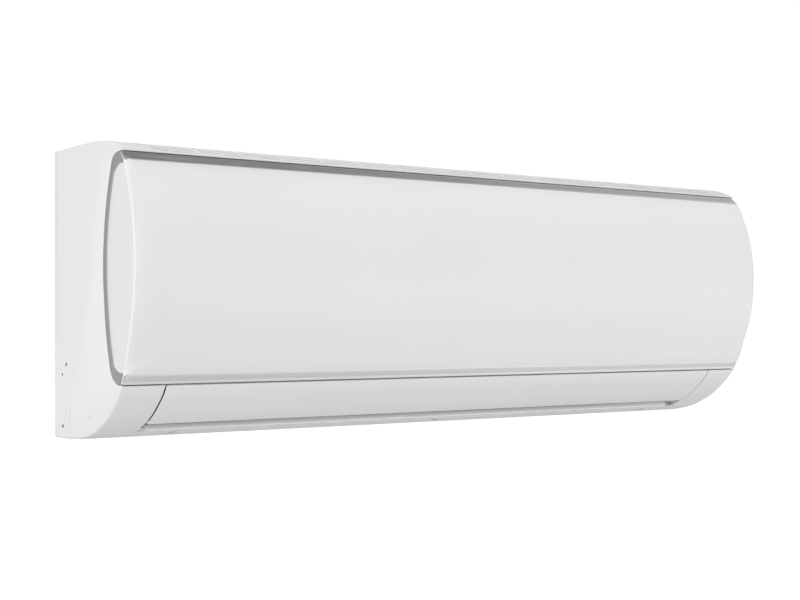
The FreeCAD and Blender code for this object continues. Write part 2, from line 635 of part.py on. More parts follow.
def front_case():
    parts = []
    side_out = [("L", [(0, 146), (-75, 146)]), ("S", BROW), ("L", [LIP, (-165.8, 130.0), (-165.8, -87.4), BELLY[0]]), ("S", BELLY),
                ("L", [(0, -146), (0, 146)])]
    hole = region(door_hole, -HALF - 5, HALF + 5)
    side = region(side_out, HALF - SIDE, HALF).cut(hole)
    parts += [side, side.mirror(V(0, 0, 0), V(1, 0, 0))]
    # roof and brow
    parts.append(box(-HALF + SIDE, HALF - SIDE, -75, 0, 146 - SKIN, 146))
    parts.append(region([("S", BROW), ("S", thin(off(brow, SKIN), 9)[::-1])], -HALF + SIDE, HALF - SIDE).cut(hole))
    # underside behind the outlet, and the corners beside it
    k = min(i for i in range(len(belly)) if belly[i][0] > FLOOR1[0] + 0.6)
    inside = off(belly, SKIN)
    parts.append(region([("S", thin(belly[k:], 8)), ("S", thin(inside[k:], 8)[::-1])], -HALF + SIDE, HALF - SIDE))
    corner = region([("S", thin(belly[:k + 1], 12)), ("S", thin(inside[:k + 1], 12)[::-1])], DUCT_X, HALF - SIDE).cut(hole)
    parts += [corner, corner.mirror(V(0, 0, 0), V(1, 0, 0))]
    # inner front frame behind the panel
    fr = plate(FRAME[1:], 2.4, -HALF + SIDE, HALF - SIDE)
    if fr.BoundBox.YMin < -187.0:
        fr = plate(FRAME[1:], -2.4, -HALF + SIDE, HALF - SIDE)
    fr = fr.fuse(box(-HALF + SIDE, HALF - SIDE, FRAME[0][0], -147.1, 130.4, 131.8))
    for a, b in WIN:
        fr = fr.cut(box(a, b, -200, -140, -58.0, 130.0))
    parts.append(fr)
    # inner flange that backs the shut line at each end
    mid = [p for p in arc if -66 < p[1] < 112]
    fl = region([("S", thin(off(mid, 6.0), 10)), ("S", thin(off(mid, -8.0), 10)[::-1])], HALF - SIDE - 1.9, HALF - SIDE)
    parts += [fl, fl.mirror(V(0, 0, 0), V(1, 0, 0))]
    # hinge lugs
    y, z = HINGE
    lug = poly([(y - 1.5, z + 4.6), (y + 3.0, z + 4.2), (-148.0, 108.0), (-148.0, 98.0), (-159.0, 100.0), (y - 4.6, z - 2.0)], 402.2, 407.0)
    lug = lug.fuse(xcyl(4.8, HINGE, 402.2, 407.0))
    lug = lug.cut(xcyl(2.55, HINGE, 395, 412))
    parts += [lug, lug.mirror(V(0, 0, 0), V(1, 0, 0))]
    s = fuse(parts)
    # inlet opening in roof and brow
    s = s.cut(box(-384.4, 384.4, -159.6, -16.0, 132.0, 150))
    # panel latch slots
    for x in (-300, 0, 300):
        s = s.cut(box(x - 7, x + 7, -175, -150, -74.5, -65.5))
    # button and display window
    s = s.cut(cyl(4.5, (376.0, -190, -38.0), (0, 1, 0), 30))
    s = s.cut(box(309.0, 345.0, -195, -165, -37.0, -21.0))
    # screw holes in the underside
    for x in (-330, 0, 330):
        s = s.cut(cyl(1.9, (x, -88.0, -150), (0, 0, 1), 16)).cut(cyl(3.9, (x, -88.0, -150), (0, 0, 1), 11.6))
    return s.removeSplitter()


add("front_case", front_case())


# ------------------------------------------------------------------ top grille
def top_grille():
    line = [(-16.4 - 2.0 * i, 146.0) for i in range(29)] + [(-75.0, 146.0)] + [p for p in brow[1:] if p[0] > -159.1]
    # cumulative length
    L = [0.0]
    for a, b in zip(line[:-1], line[1:]):
        L.append(L[-1] + math.hypot(b[0] - a[0], b[1] - a[1]))

    def at(s):
        for i in range(len(L) - 1):
            if L[i] <= s <= L[i + 1] + 1e-9:
                t = (s - L[i]) / (L[i + 1] - L[i])
                a, b = line[i], line[i + 1]
                p = (a[0] + (b[0] - a[0]) * t, a[1] + (b[1] - a[1]) * t)
                m = math.hypot(b[0] - a[0], b[1] - a[1])
                return p, (-(b[1] - a[1]) / m, (b[0] - a[0]) / m)
        return line[-1], (0, -1)

    total = L[-1]
    bars = []
    pitch = 6.4
    n = int((total - 3) / pitch)
    pitch = (total - 2.4) / n
    for i in range(n + 1):
        c = 1.2 + pitch * i
        w = 0.95
        (p0, n0), (p1, n1) = at(max(c - w, 0)), at(min(c + w, total))
        d = 2.0 if c > total - 9 else 2.6
        bars.append(poly([p0, p1, (p1[0] + n1[0] * d, p1[1] + n1[1] * d), (p0[0] + n0[0] * d, p0[1] + n0[1] * d)], -384.0, 384.0))
    ribs = []
    m = 16
    for k in range(m + 1):
        x = -384.0 + (768.0 - 1.8) * k / m
        pts, ins = [], []
        for j in range(25):
            p, nn = at(total * j / 24)
            dep = 4.6 if j < 21 else 4.6 - (j - 20) * 0.65
            pts.append((p[0] + nn[0] * 0.35, p[1] + nn[1] * 0.35))
            ins.append((p[0] + nn[0] * dep, p[1] + nn[1] * dep))
        ribs.append(poly(pts + ins[::-1], x, x + 1.8))
    s = bars[0].multiFuse(bars[1:] + ribs)
    return s.removeSplitter()


add("top_grille", top_grille())


# --------------------------------------------------------------- front panel
def panel_and_trim():
    rearpts = ARC
    outer = region([("S", FACE), ("L", [FACE[-1], ARC[0]]), ("S", rearpts), ("L", [ARC[-1], FACE[0]])], -HALF, HALF)
    edges = []
    for e in outer.Edges:
        b = e.BoundBox
        if abs(abs(b.XMin) - HALF) < 1e-3 and b.XLength < 1e-3 and b.ZLength > 180 and b.YMin < -190:
            edges.append(e)
    try:
        outer = outer.makeFillet(FILLET, edges)
    except Exception as err:
        print("fillet failed", err)
    fin = off(face, -PANEL_WALL)
    if min(p[0] for p in fin) < min(p[0] for p in face):
        fin = off(face, PANEL_WALL)
    fin = [p for p in fin if -84.2 < p[1] < 127.0]
    a, b = fin[0], fin[-1]
    hollow = region([("S", thin(fin, 14)), ("L", [b, (-100, b[1]), (-100, a[1]), a])], -HALF + PANEL_WALL, HALF - PANEL_WALL)
    hedges = []
    for e in hollow.Edges:
        bb = e.BoundBox
        if abs(abs(bb.XMin) - HALF + PANEL_WALL) < 1e-3 and bb.XLength < 1e-3 and bb.ZLength > 180 and bb.YMin < -190:
            hedges.append(e)
    try:
        hollow = hollow.makeFillet(FILLET - PANEL_WALL, hedges)
    except Exception as err:
        print("inner fillet failed", err)
    shell = outer.cut(hollow)
    # the flanges are shallow between the end returns
    shell = shell.cut(box(-HALF + PANEL_WALL, HALF - PANEL_WALL, -161.6, -100, -100, 140))
    # white field inside the band
    arc_in = [p for p in off(arc, -TRIM_W) if -72 < p[1] < 114]
    if max(p[0] for p in arc_in) > max(p[0] for p in arc):
        arc_in = [p for p in off(arc, TRIM_W) if -72 < p[1] < 114]
    lo, hi = arc_in[0], arc_in[-1]
    field = region([("L", [(-230, -77.6), (-158.5, -77.6), (-152.5, -75.6)]), ("S", thin(arc_in, 14)),
                    ("L", [(-155.8, 119.0), (-163.0, 120.8), (-230, 120.8)])], -HALF - 5, HALF + 5)
    panel = shell.common(field)
    trim = shell.cut(field)
    return panel, trim


panel, trim = panel_and_trim()
# latch pegs and stiffening ribs inside the panel
pegs = []
for x in (-300, 0, 300):
    pegs.append(box(x - 4.5, x + 4.5, -176.0, -157.5, -71.8, -68.4))
ribs_in = []
fin2 = [p for p in off(face, PANEL_WALL) if -60 < p[1] < 100]
fin3 = [p for p in off(face, PANEL_WALL - 0.3) if -60 < p[1] < 100]
if min(p[0] for p in fin2) < min(p[0] for p in face):
    fin2 = [p for p in off(face, -PANEL_WALL) if -60 < p[1] < 100]
    fin3 = [p for p in off(face, -PANEL_WALL + 0.3) if -60 < p[1] < 100]
fin4 = off(fin2, 2.6)
if min(p[0] for p in fin4) < min(p[0] for p in fin2):
    fin4 = off(fin2, -2.6)
for x in (-390, -200, 0, 200, 390):
    ribs_in.append(region([("S", thin(fin3, 10)), ("S", thin(fin4, 10)[::-1])], x - 1, x + 1))
panel = panel.multiFuse(pegs + ribs_in).removeSplitter()
add("front_panel", panel)
add("panel_trim", trim)

# hinge arms: a plate on the inside of the panel and the pin that turns in the case's lug
y, z = HINGE
arm = poly([(y - 3.5, z + 3.0), (y + 2.8, z + 3.0), (y + 3.4, z - 2.5), (-172.4, 98.5), (-185.0, 98.0), (-176.3, 113.2)], 397.2, 401.6)
arm = arm.fuse(xcyl(4.2, HINGE, 397.2, 401.6)).fuse(xcyl(2.5, HINGE, 401.0, 409.5)).removeSplitter()
hp = region([("S", thin([p for p in off(face, PANEL_WALL)], 14)), ("L", [off(face, PANEL_WALL)[-1], (-100, -90), (-100, 140), off(face, PANEL_WALL)[0]])], 380, 420)
if hp.BoundBox.YMin < -205.0:
    hp = region([("S", thin([p for p in off(face, -PANEL_WALL)], 14)), ("L", [off(face, -PANEL_WALL)[-1], (-100, -90), (-100, 140), off(face, -PANEL_WALL)[0]])], 380, 420)
arm = arm.common(hp)
add("hinge_arms", Part.makeCompound([arm, arm.mirror(V(0, 0, 0), V(1, 0, 0))]))


# ------------------------------------------------------------------- flap
def outlet_flap():
    ff = [p for p in belly if p[1] < -88.6 and p[0] < -117.4]
    skin = region([("S", thin(ff, 12)), ("S", thin(off(ff, 2.4), 12)[::-1])], -FLAP_X, FLAP_X)
    if skin.BoundBox.YMin < -165.0:
        skin = region([("S", thin(ff, 12)), ("S", thin(off(ff, -2.4), 12)[::-1])], -FLAP_X, FLAP_X)
    y, z = FLAP_AXIS
    ear = poly([(y - 4, z + 1.5), (y + 3.5, z + 2.5), (y + 4.2, z - 1.0), (-119.2, -125.0), (-136.5, -115.0)], 0, 3.0)
    ear = ear.fuse(xcyl(4.4, FLAP_AXIS, 0, 3.0))
    bel = region([("S", thin([p for p in belly if p[0] < -100], 12)), ("L", [(-100, -100), (-165, -80)])], -5, 10)
    ear = ear.common(bel)
    parts = [skin]
    for x in (-FLAP_X, FLAP_X - 3.0, 2.6, -5.6):
        parts.append(ear.translated(V(x, 0, 0)))
    parts.append(xcyl(2.5, FLAP_AXIS, -FLAP_X - 6.5, -FLAP_X + 1))
    parts.append(xcyl(2.5, FLAP_AXIS, FLAP_X - 1, FLAP_X + 3.6))
    parts.append(xcyl(2.0, FLAP_AXIS, -4.0, 4.0))
    return fuse(parts)


add("outlet_flap", outlet_flap())
fm = xcyl(10.0, FLAP_AXIS, -389.6, -375.4).fuse(box(-377.0, -375.4, -132.5, -109.5, -113.6, -106.4).common(xcyl(17.0, FLAP_AXIS, -380, -370)))
fm = fm.cut(xcyl(2.5, FLAP_AXIS, -380.0, -370)).removeSplitter()
add("flap_motor", fm)


# ------------------------------------------------------------------- vanes
def vane(x):
    # blade outline in the duct frame (s, h)
    out = [(37.0, 1.2), (55.5, 1.2), (57.0, 4.0), (57.0, 46.0), (49.0, 46.0), (36.5, 26.0), (34.5, 12.5), (34.5, 10.2), (37.0, 10.2)]
    blade = poly([sh(*p) for p in out], x - 0.75, x + 0.75)
    y, z = sh(VANE_S, -5.0)
    pin = cyl(2.0, (x, y, z), (0, DH[0], DH[1]), 8.0)
    y, z = sh(VANE_S, 1.0)
    boss = cyl(3.6, (x, y, z), (0, DH[0], DH[1]), 4.0)
    tab = poly([sh(28.8, 10.2), sh(36.5, 10.2), sh(36.5, 12.4), sh(28.8, 12.4)], x - 2.2, x + 2.2)
    y, z = sh(VANE_PIN_S, 5.4)
    lp = cyl(1.2, (x, y, z), (0, DH[0], DH[1]), 5.0)
    return fuse([blade, pin, boss, tab, lp])


def rod(xs):
    r = poly([sh(28.6, 6.4), sh(33.4, 6.4), sh(33.4, 9.4), sh(28.6, 9.4)], xs[0] - 5, xs[-1] + 5)
    for x in xs:
        y, z = sh(VANE_PIN_S, 4.0)
        r = r.cut(cyl(1.45, (x, y, z), (0, DH[0], DH[1]), 8.0))
    return r


for i, x in enumerate(VANES_L):
    add("vane_l%d" % (i + 1), vane(x))
for i, x in enumerate(VANES_R):
    add("vane_r%d" % (i + 1), vane(x))
add("vane_rod_left", rod(VANES_L))
add("vane_rod_right", rod(VANES_R))


def vane_motor(x):
    y, z = sh(VANE_S, -2.7)
    d = (0, -DH[0], -DH[1])
    s = cyl(11.0, (x, y, z), d, 13.0)
    s = s.cut(cyl(2.05, (x, y, z), d, 4.0))
    return s


add("vane_motor_left", vane_motor(VANES_L[2]))
add("vane_motor_right", vane_motor(VANES_R[2]))


# ------------------------------------------------------------------ filters
FILTER = [(-24.0, 124.5), (-60.0, 126.5), (-100.0, 127.3), (-128.0, 126.2), (-141.0, 122.0), (-149.0, 113.0), (-156.5, 101.5), (-167.5, 87.5),
          (-180.0, 62.0), (-188.2, 36.0), (-190.3, 8.0), (-187.6, -20.0), (-181.0, -43.0), (-172.0, -62.0)]


def filt(x0, x1):
    c = dense(FILTER, 200)
    t = 1.0
    s = region([("S", thin(c, 22)), ("S", thin(off(c, t), 22)[::-1])], x0 + 0.5, x1 - 0.5)
    parts = [s]
    n = 7
    for k in range(n):
        x = x0 + (x1 - x0 - 3.0) * k / (n - 1)
        parts.append(region([("S", thin(off(c, -0.6)[3:-3], 22)), ("S", thin(off(c, t + 0.8)[3:-3], 22)[::-1])], x, x + 3.0))
    # cross bars
    for f in (0.0, 0.2, 0.4, 0.6, 0.8, 1.0):
        i0 = 6 + int(f * 181)
        parts.append(region([("L", off(c, -0.3)[i0:i0 + 7:2]), ("L", off(c, t + 0.5)[i0:i0 + 7:2][::-1])], x0 + 1.5, x1 - 1.5))
    return fuse(parts)


add("filter_left", filt(-363.5, -44.0))
add("filter_right", filt(-33.0, 286.5))


# ------------------------------------------------------------- electrical box
cb = box(362, 406, -143, -30, -50, 112).cut(box(364, 404, -145, -32, -48, 110))
add("control_box", cb)
add("control_cover", box(362, 406, -145.0, -143.0, -50, 112).cut(box(372, 396, -147, -141, -46, -38)))
mb = box(399.0, 400.6, -138, -40, -18, 104)
for (y, z, a, b, hgt) in ((-130, 80, 14, 14, 12), (-108, 84, 16, 10, 8), (-70, 70, 26, 22, 20), (-120, 30, 12, 28, 15), (-84, 20, 20, 16, 14), (-95, -10, 10, 24, 9)):
    mb = mb.fuse(box(399.0 - hgt, 399.0, y, y + a, z, z + b))
for (y, z) in ((-136, 94), (-48, 94), (-136, -14), (-48, -14)):
    mb = mb.fuse(box(400.6, 404.0, y, y + 6, z, z + 6))
add("main_board", mb.removeSplitter())
add("run_capacitor", box(367.0, 387.0, -68, -36, -44, -16).fuse(box(375, 379, -54, -48, -16, -10)))
tb = box(366, 402, -134, -106, -48, -24)
for k in range(4):
    tb = tb.cut(box(368.0 + 8.6 * k, 373.6 + 8.6 * k, -135, -116, -36, -22))
add("terminal_block", tb)
db = box(303.5, 352.0, -167.4, -165.8, -52.0, -10.0)
db = db.fuse(box(311.0, 325.0, -172.6, -167.4, -35.0, -23.0)).fuse(box(329.0, 343.0, -172.6, -167.4, -35.0, -23.0))
add("display_board", db.removeSplitter())

bt = cyl(4.0, (376.0, -181.4, -38.0), (0, 1, 0), 10.6).fuse(cyl(5.6, (376.0, -172.4, -38.0), (0, 1, 0), 1.6)).removeSplitter()
add("reset_button", bt)
add("room_sensor", box(330.0, 346.0, -152.0, -146.0, 66.0, 72.0).fuse(xcyl(2.2, (-149.0, 69.0), 322.0, 330.0)).removeSplitter())
add("coil_sensor", xcyl(2.6, (-84.0, 104.0), 291.5, 316.0))

# case screws and their caps under the outlet
cs = []
for x in (-330, 0, 330):
    cs.append(cyl(1.7, (x, -88.0, -139.6), (0, 0, 1), 7.4).fuse(cyl(3.4, (x, -88.0, -140.2), (0, 0, 1), 1.7)).removeSplitter())
add("case_screws", Part.makeCompound(cs))

os.makedirs("parts", exist_ok=True)
for name, shape in NODES.items():
    shape.exportStep("parts/%s.step" % name)
    print(name, "valid" if shape.isValid() else "INVALID", "solids", len(shape.Solids), "vol %.0f" % shape.Volume)
print(len(NODES), "nodes")
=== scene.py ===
import bpy
import bmesh
import json
import math

import numpy as np
from mathutils import Vector, Matrix


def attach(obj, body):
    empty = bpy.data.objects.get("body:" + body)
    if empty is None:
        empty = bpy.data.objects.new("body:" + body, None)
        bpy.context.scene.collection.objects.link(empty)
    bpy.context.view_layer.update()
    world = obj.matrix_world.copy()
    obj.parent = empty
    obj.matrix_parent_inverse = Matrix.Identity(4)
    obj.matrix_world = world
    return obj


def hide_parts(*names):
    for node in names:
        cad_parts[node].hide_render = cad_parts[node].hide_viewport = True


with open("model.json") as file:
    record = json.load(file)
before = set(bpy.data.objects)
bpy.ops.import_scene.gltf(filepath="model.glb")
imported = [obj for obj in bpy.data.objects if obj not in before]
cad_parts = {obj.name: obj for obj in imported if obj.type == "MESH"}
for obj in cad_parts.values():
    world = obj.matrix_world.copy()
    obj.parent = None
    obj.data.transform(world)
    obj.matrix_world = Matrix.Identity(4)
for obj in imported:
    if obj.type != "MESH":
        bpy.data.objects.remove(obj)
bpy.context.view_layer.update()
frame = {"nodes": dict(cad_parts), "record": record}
MM = 0.001
SLOTS = {s["node"]: s["material_slot"] for s in frame["record"]["subparts"]}

# ---------------------------------------------------------------------------
# outlines of the unit from the side, (y, z) in millimetres
# ---------------------------------------------------------------------------
HALF = 417.5
BROW = [(-75, 146), (-90, 145.6), (-105, 144.9), (-119, 143.8), (-132, 142.2), (-142, 140.2), (-150, 137.6), (-157.5, 134.6), (-164.2, 131.0)]
FACE = [(-165.0, 129.3), (-174.6, 121.8), (-184.6, 106.0), (-194.8, 84.5), (-201.2, 63.5), (-204.5, 45.0), (-205.5, 28.0), (-203.6, 0.0),
        (-196.8, -29.0), (-187.0, -52.0), (-177.2, -72.6), (-167.3, -86.8)]
BELLY = [(-165.3, -88.2), (-158.4, -97.4), (-147.5, -107.9), (-133.8, -118.9), (-113.0, -130.1), (-99.5, -135.9), (-81.0, -140.7),
         (-66.0, -143.5), (-45.0, -144.9), (-22, -145.7), (0, -146)]
ARC = [(-157.0, -86.5), (-149.8, -84.0), (-144.4, -80.4), (-140.6, -75.4), (-137.9, -68.8), (-134.9, -58.5), (-131.6, -46.5), (-127.9, -28.0),
       (-124.8, -5.0), (-123.1, 14.0), (-122.9, 30.0), (-124.3, 50.0), (-127.3, 70.0), (-131.4, 88.0), (-136.4, 104.5), (-140.4, 115.6),
       (-142.4, 120.8), (-146.6, 126.0), (-154.7, 128.9)]
FRAME = [(-149.5, 130.4), (-149.5, 112.0), (-163.0, 97.0), (-176.0, 72.0), (-184.0, 40.0), (-186.0, 10.0), (-183.0, -20.0), (-176.0, -45.0),
         (-167.0, -64.0), (-160.2, -79.0), (-159.2, -91.5)]
FAN = (-82.0, -30.0)
FLOOR0, FLOOR1 = (-41.0, -79.0), (-98.6, -136.1)
FLAP_AXIS = (-121.0, -110.0)
HINGE = (-165.5, 117.5)
_fl = math.hypot(FLOOR1[0] - FLOOR0[0], FLOOR1[1] - FLOOR0[1])
DS = ((FLOOR1[0] - FLOOR0[0]) / _fl, (FLOOR1[1] - FLOOR0[1]) / _fl)
DH = (DS[1], -DS[0])


def sh(s, h):
    return (FLOOR0[0] + DS[0] * s + DH[0] * h, FLOOR0[1] + DS[1] * s + DH[1] * h)


# ---------------------------------------------------------------------------
# curves
# ---------------------------------------------------------------------------
def spline(pts, n=200):
    """A natural cubic through the points, evenly spaced along its length."""
    P = np.array(pts, float)
    t = np.r_[0, np.cumsum(np.linalg.norm(np.diff(P, axis=0), axis=1))]
    m = len(P)
    h = np.diff(t)
    A = np.zeros((m, m))
    R = np.zeros_like(P)
    A[0, 0] = A[-1, -1] = 1
    for i in range(1, m - 1):
        A[i, i - 1], A[i, i], A[i, i + 1] = h[i - 1], 2 * (h[i - 1] + h[i]), h[i]
        R[i] = 6 * ((P[i + 1] - P[i]) / h[i] - (P[i] - P[i - 1]) / h[i - 1])
    M = np.linalg.solve(A, R)
    u = np.linspace(0, t[-1], n * 8)
    k = np.clip(np.searchsorted(t, u, side="right") - 1, 0, m - 2)
    a, b, H = (t[k + 1] - u)[:, None], (u - t[k])[:, None], h[k][:, None]
    Q = M[k] * a ** 3 / (6 * H) + M[k + 1] * b ** 3 / (6 * H) + (P[k] / H - M[k] * H / 6) * a + (P[k + 1] / H - M[k + 1] * H / 6) * b
    s = np.r_[0, np.cumsum(np.linalg.norm(np.diff(Q, axis=0), axis=1))]
    w = np.linspace(0, s[-1], n)
    return np.c_[np.interp(w, s, Q[:, 0]), np.interp(w, s, Q[:, 1])]


def resample(P, n):
    P = np.asarray(P, float)
    s = np.r_[0, np.cumsum(np.linalg.norm(np.diff(P, axis=0), axis=1))]
    w = np.linspace(0, s[-1], n)
    return np.c_[np.interp(w, s, P[:, 0]), np.interp(w, s, P[:, 1])]


def gathered(P, n):
    """n points along a curve, closer together near both ends."""
    P = np.asarray(P, float)
    s = np.r_[0, np.cumsum(np.linalg.norm(np.diff(P, axis=0), axis=1))]
    t = np.linspace(0, 1, n)
    w = s[-1] * (0.25 * t + 0.75 * (1 - np.cos(np.pi * t)) / 2)
    return np.c_[np.interp(w, s, P[:, 0]), np.interp(w, s, P[:, 1])]


def length(P):
    return float(np.linalg.norm(np.diff(np.asarray(P), axis=0), axis=1).sum())


def normals(P, ref):
    """Unit normals of an open curve, pointing away from the point ref."""
    P = np.asarray(P, float)
    T = np.gradient(P, axis=0)
    T /= np.linalg.norm(T, axis=1)[:, None]
    N = np.c_[-T[:, 1], T[:, 0]]
    flip = ((P - np.array(ref)) * N).sum(1) < 0
    N[flip] *= -1
    return N


def clip_z(P, za, zb):
    """The stretch of a curve between two heights, its ends interpolated."""
    lo, hi = min(za, zb), max(za, zb)
    out = []
    for p, q in zip(P[:-1], P[1:]):
        if lo <= p[1] <= hi:
            out.append(p)
        cuts = []
        for zc in (lo, hi):
            if (p[1] - zc) * (q[1] - zc) < 0:
                t = (zc - p[1]) / (q[1] - p[1])
                cuts.append((t, p + (q - p) * t))
        out += [c for _, c in sorted(cuts, key=lambda v: v[0])]
    if lo <= P[-1][1] <= hi:
        out.append(P[-1])
    return np.array(out)


def at_height(P, z):
    i = int(np.argmin(np.abs(P[:, 1] - z)))
    return i


def rounded(poly, r=0.6, n=3, limit=25.0):
    """A closed outline with its corners turned to small arcs."""
    P = [np.array(p, float) for p in poly]
    out = []
    m = len(P)
    for i in range(m):
        a, p, b = P[i - 1], P[i], P[(i + 1) % m]
        u, v = a - p, b - p
        lu, lv = np.linalg.norm(u), np.linalg.norm(v)
        if lu < 1e-9 or lv < 1e-9:
            continue
        u, v = u / lu, v / lv
        ang = math.acos(max(-1, min(1, float(u @ v))))
        if math.degrees(math.pi - ang) < limit:
            out.append(p)
            continue
        c = min(r / math.tan(ang / 2), lu * 0.42, lv * 0.42)
        s, e = p + u * c, p + v * c
        for k in range(n + 1):
            t = k / n
            out.append((1 - t) ** 2 * s + 2 * t * (1 - t) * p + t * t * e)
    return np.array(out)


def inset(poly, d):
    """A closed outline moved inwards by d, mitred at its corners."""
    P = np.asarray(poly, float)
    area = 0.5 * float((P[:, 0] * np.roll(P[:, 1], -1) - np.roll(P[:, 0], -1) * P[:, 1]).sum())
    e = np.roll(P, -1, 0) - P
    e /= np.maximum(np.linalg.norm(e, axis=1), 1e-9)[:, None]
    n = np.c_[-e[:, 1], e[:, 0]] * (1 if area > 0 else -1)
    m = n + np.roll(n, 1, 0)
    k = 2 / np.maximum((m * m).sum(1), 0.6)
    return P + m * k[:, None] * d


# ---------------------------------------------------------------------------
# mesh building: a Build collects closed shells and becomes one object
# ---------------------------------------------------------------------------
class Build:
    def __init__(self):
        self.v, self.f = [], []

    def add(self, verts, faces):
        b = len(self.v)
        self.v += [tuple(map(float, p)) for p in verts]
        self.f += [tuple(int(i) + b for i in f) for f in faces]

    def rings(self, rings, caps=True, loop=False):
        """Joins closed rings of equal count into one skin."""
        n = len(rings[0])
        faces = []
        m = len(rings)
        for i in range(m if loop else m - 1):
            a, b = i * n, ((i + 1) % m) * n
            for j in range(n):
                k = (j + 1) % n
                faces.append((a + j, a + k, b + k, b + j))
        if caps and not loop:
            faces.append(tuple(range(n - 1, -1, -1)))
            faces.append(tuple((m - 1) * n + j for j in range(n)))
        self.add(np.concatenate([np.asarray(r, float) for r in rings]), faces)

    def prism(self, poly, x0, x1, r=0.5, edge=0.35, xs=()):
        """An outline in y-z run along X, with rounded corners and softened ends."""
        P = rounded(poly, r) if r > 0 else np.asarray(poly, float)
        small = inset(P, edge) if edge > 0 else P
        rings = []
        if edge > 0:
            rings.append(np.c_[np.full(len(P), x0), small])
            mid = inset(P, edge * 0.3)
            rings.append(np.c_[np.full(len(P), x0 + edge * 0.3), mid])
        rings.append(np.c_[np.full(len(P), x0 + edge), P])
        for x in xs:
            rings.append(np.c_[np.full(len(P), x), P])
        rings.append(np.c_[np.full(len(P), x1 - edge), P])
        if edge > 0:
            rings.append(np.c_[np.full(len(P), x1 - edge * 0.3), mid])
            rings.append(np.c_[np.full(len(P), x1), small])
        self.rings(rings)

    def lathe(self, profile, origin, axis, n=32):
        """A closed (along, radius) profile turned about an axis; radius 0 ends are allowed."""
        o, a = np.array(origin, float), np.array(axis, float)
        a /= np.linalg.norm(a)
        u = np.cross(a, [0, 0, 1] if abs(a[2]) < 0.9 else [0, 1, 0])
        u /= np.linalg.norm(u)
        w = np.cross(a, u)
        verts, faces, rows = [], [], []
        for s, r in profile:
            if r < 1e-6:
                rows.append([len(verts)])
                verts.append(o + a * s)
            else:
                row = []
                for k in range(n):
                    t = 2 * math.pi * k / n
                    row.append(len(verts))
                    verts.append(o + a * s + (u * math.cos(t) + w * math.sin(t)) * r)
                rows.append(row)
        closed = len(rows[0]) > 1 and len(rows[-1]) > 1
        pairs = list(zip(rows[:-1], rows[1:])) + ([(rows[-1], rows[0])] if closed else [])
        for A, B in pairs:
            for k in range(n):
                k2 = (k + 1) % n
                if len(A) == 1 and len(B) == 1:
                    break
                if len(A) == 1:
                    faces.append((A[0], B[k], B[k2]))
                elif len(B) == 1:
                    faces.append((A[k], B[0], A[k2]))
                else:
                    faces.append((A[k], B[k], B[k2], A[k2]))
        self.add(verts, faces)

    def thick(self, O, I, mask=None, sides=True):
        """A wall between an outer and an inner grid, closed at every edge of the kept cells."""
        O, I = np.asarray(O, float), np.asarray(I, float)
        R, C = O.shape[:2]
        mask = np.ones((R - 1, C - 1), bool) if mask is None else mask
        idx = lambda i, j: i * C + j
        K = R * C
        faces = []
        for i in range(R - 1):
            for j in range(C - 1):
                if not mask[i, j]:
                    continue
                a, b, c, d = idx(i, j), idx(i, j + 1), idx(i + 1, j + 1), idx(i + 1, j)
                faces.append((a, b, c, d))
                faces.append((d + K, c + K, b + K, a + K))
                if i == 0 or not mask[i - 1, j]:
                    faces.append((a, a + K, b + K, b))
                if i == R - 2 or not mask[i + 1, j]:
                    faces.append((c, c + K, d + K, d))
                if (j == 0 and sides) or (j > 0 and not mask[i, j - 1]):
                    faces.append((d, d + K, a + K, a))
                if (j == C - 2 and sides) or (j < C - 2 and not mask[i, j + 1]):
                    faces.append((b, b + K, c + K, c))
        verts = np.concatenate([O.reshape(-1, 3), I.reshape(-1, 3)])
        used = sorted({i for f in faces for i in f})
        re = {u: k for k, u in enumerate(used)}
        self.add(verts[used], [tuple(re[i] for i in f) for f in faces])

    def finish(self, name, mat, body, slot=None, nodes=(), bevel=None, smooth=35.0, segments=2, cut=None, weighted=False):
        me = bpy.data.meshes.new(name)
        me.from_pydata([(x * MM, y * MM, z * MM) for x, y, z in self.v], [], self.f)
        me.validate()
        bm = bmesh.new()
        bm.from_mesh(me)
        bmesh.ops.remove_doubles(bm, verts=bm.verts, dist=2e-7)
        bmesh.ops.recalc_face_normals(bm, faces=bm.faces)
        bm.to_mesh(me)
        bm.free()
        me.update()
        ob = bpy.data.objects.new(name, me)
        bpy.context.scene.collection.objects.link(ob)
        if bevel:
            m = ob.modifiers.new("edge", "BEVEL")
            m.width, m.segments, m.limit_method, m.angle_limit = bevel * MM, segments, "ANGLE", math.radians(50)
            m.use_clamp_overlap = True
            apply(ob)
        if cut is not None:
            m = ob.modifiers.new("cut", "BOOLEAN")
            m.operation, m.solver, m.object = "DIFFERENCE", "EXACT", cut
            apply(ob)
            bpy.data.objects.remove(cut)
        for p in ob.data.polygons:
            p.use_smooth = True
        ob.data.set_sharp_from_angle(angle=math.radians(smooth))
        ob.data.materials.clear()
        ob.data.materials.append(mat)
        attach(ob, body)
        if nodes:
            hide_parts(*nodes)
        return ob

    def cutter(self):
        me = bpy.data.meshes.new("cutter")
        me.from_pydata([(x * MM, y * MM, z * MM) for x, y, z in self.v], [], self.f)
        bm = bmesh.new()
        bm.from_mesh(me)
        bmesh.ops.recalc_face_normals(bm, faces=bm.faces)
        bm.to_mesh(me)
        bm.free()
        ob = bpy.data.objects.new("cutter", me)
        bpy.context.scene.collection.objects.link(ob)
        return ob


def apply(ob):
    bpy.context.view_layer.update()
    dg = bpy.context.evaluated_depsgraph_get()
    me = bpy.data.meshes.new_from_object(ob.evaluated_get(dg))
    old = ob.data
    ob.modifiers.clear()
    ob.data = me
    bpy.data.meshes.remove(old)


# ---------------------------------------------------------------------------
# materials
# ---------------------------------------------------------------------------
def lin(c):
    return tuple((v / 255 / 12.92 if v / 255 <= 0.04045 else ((v / 255 + 0.055) / 1.055) ** 2.4) for v in c)


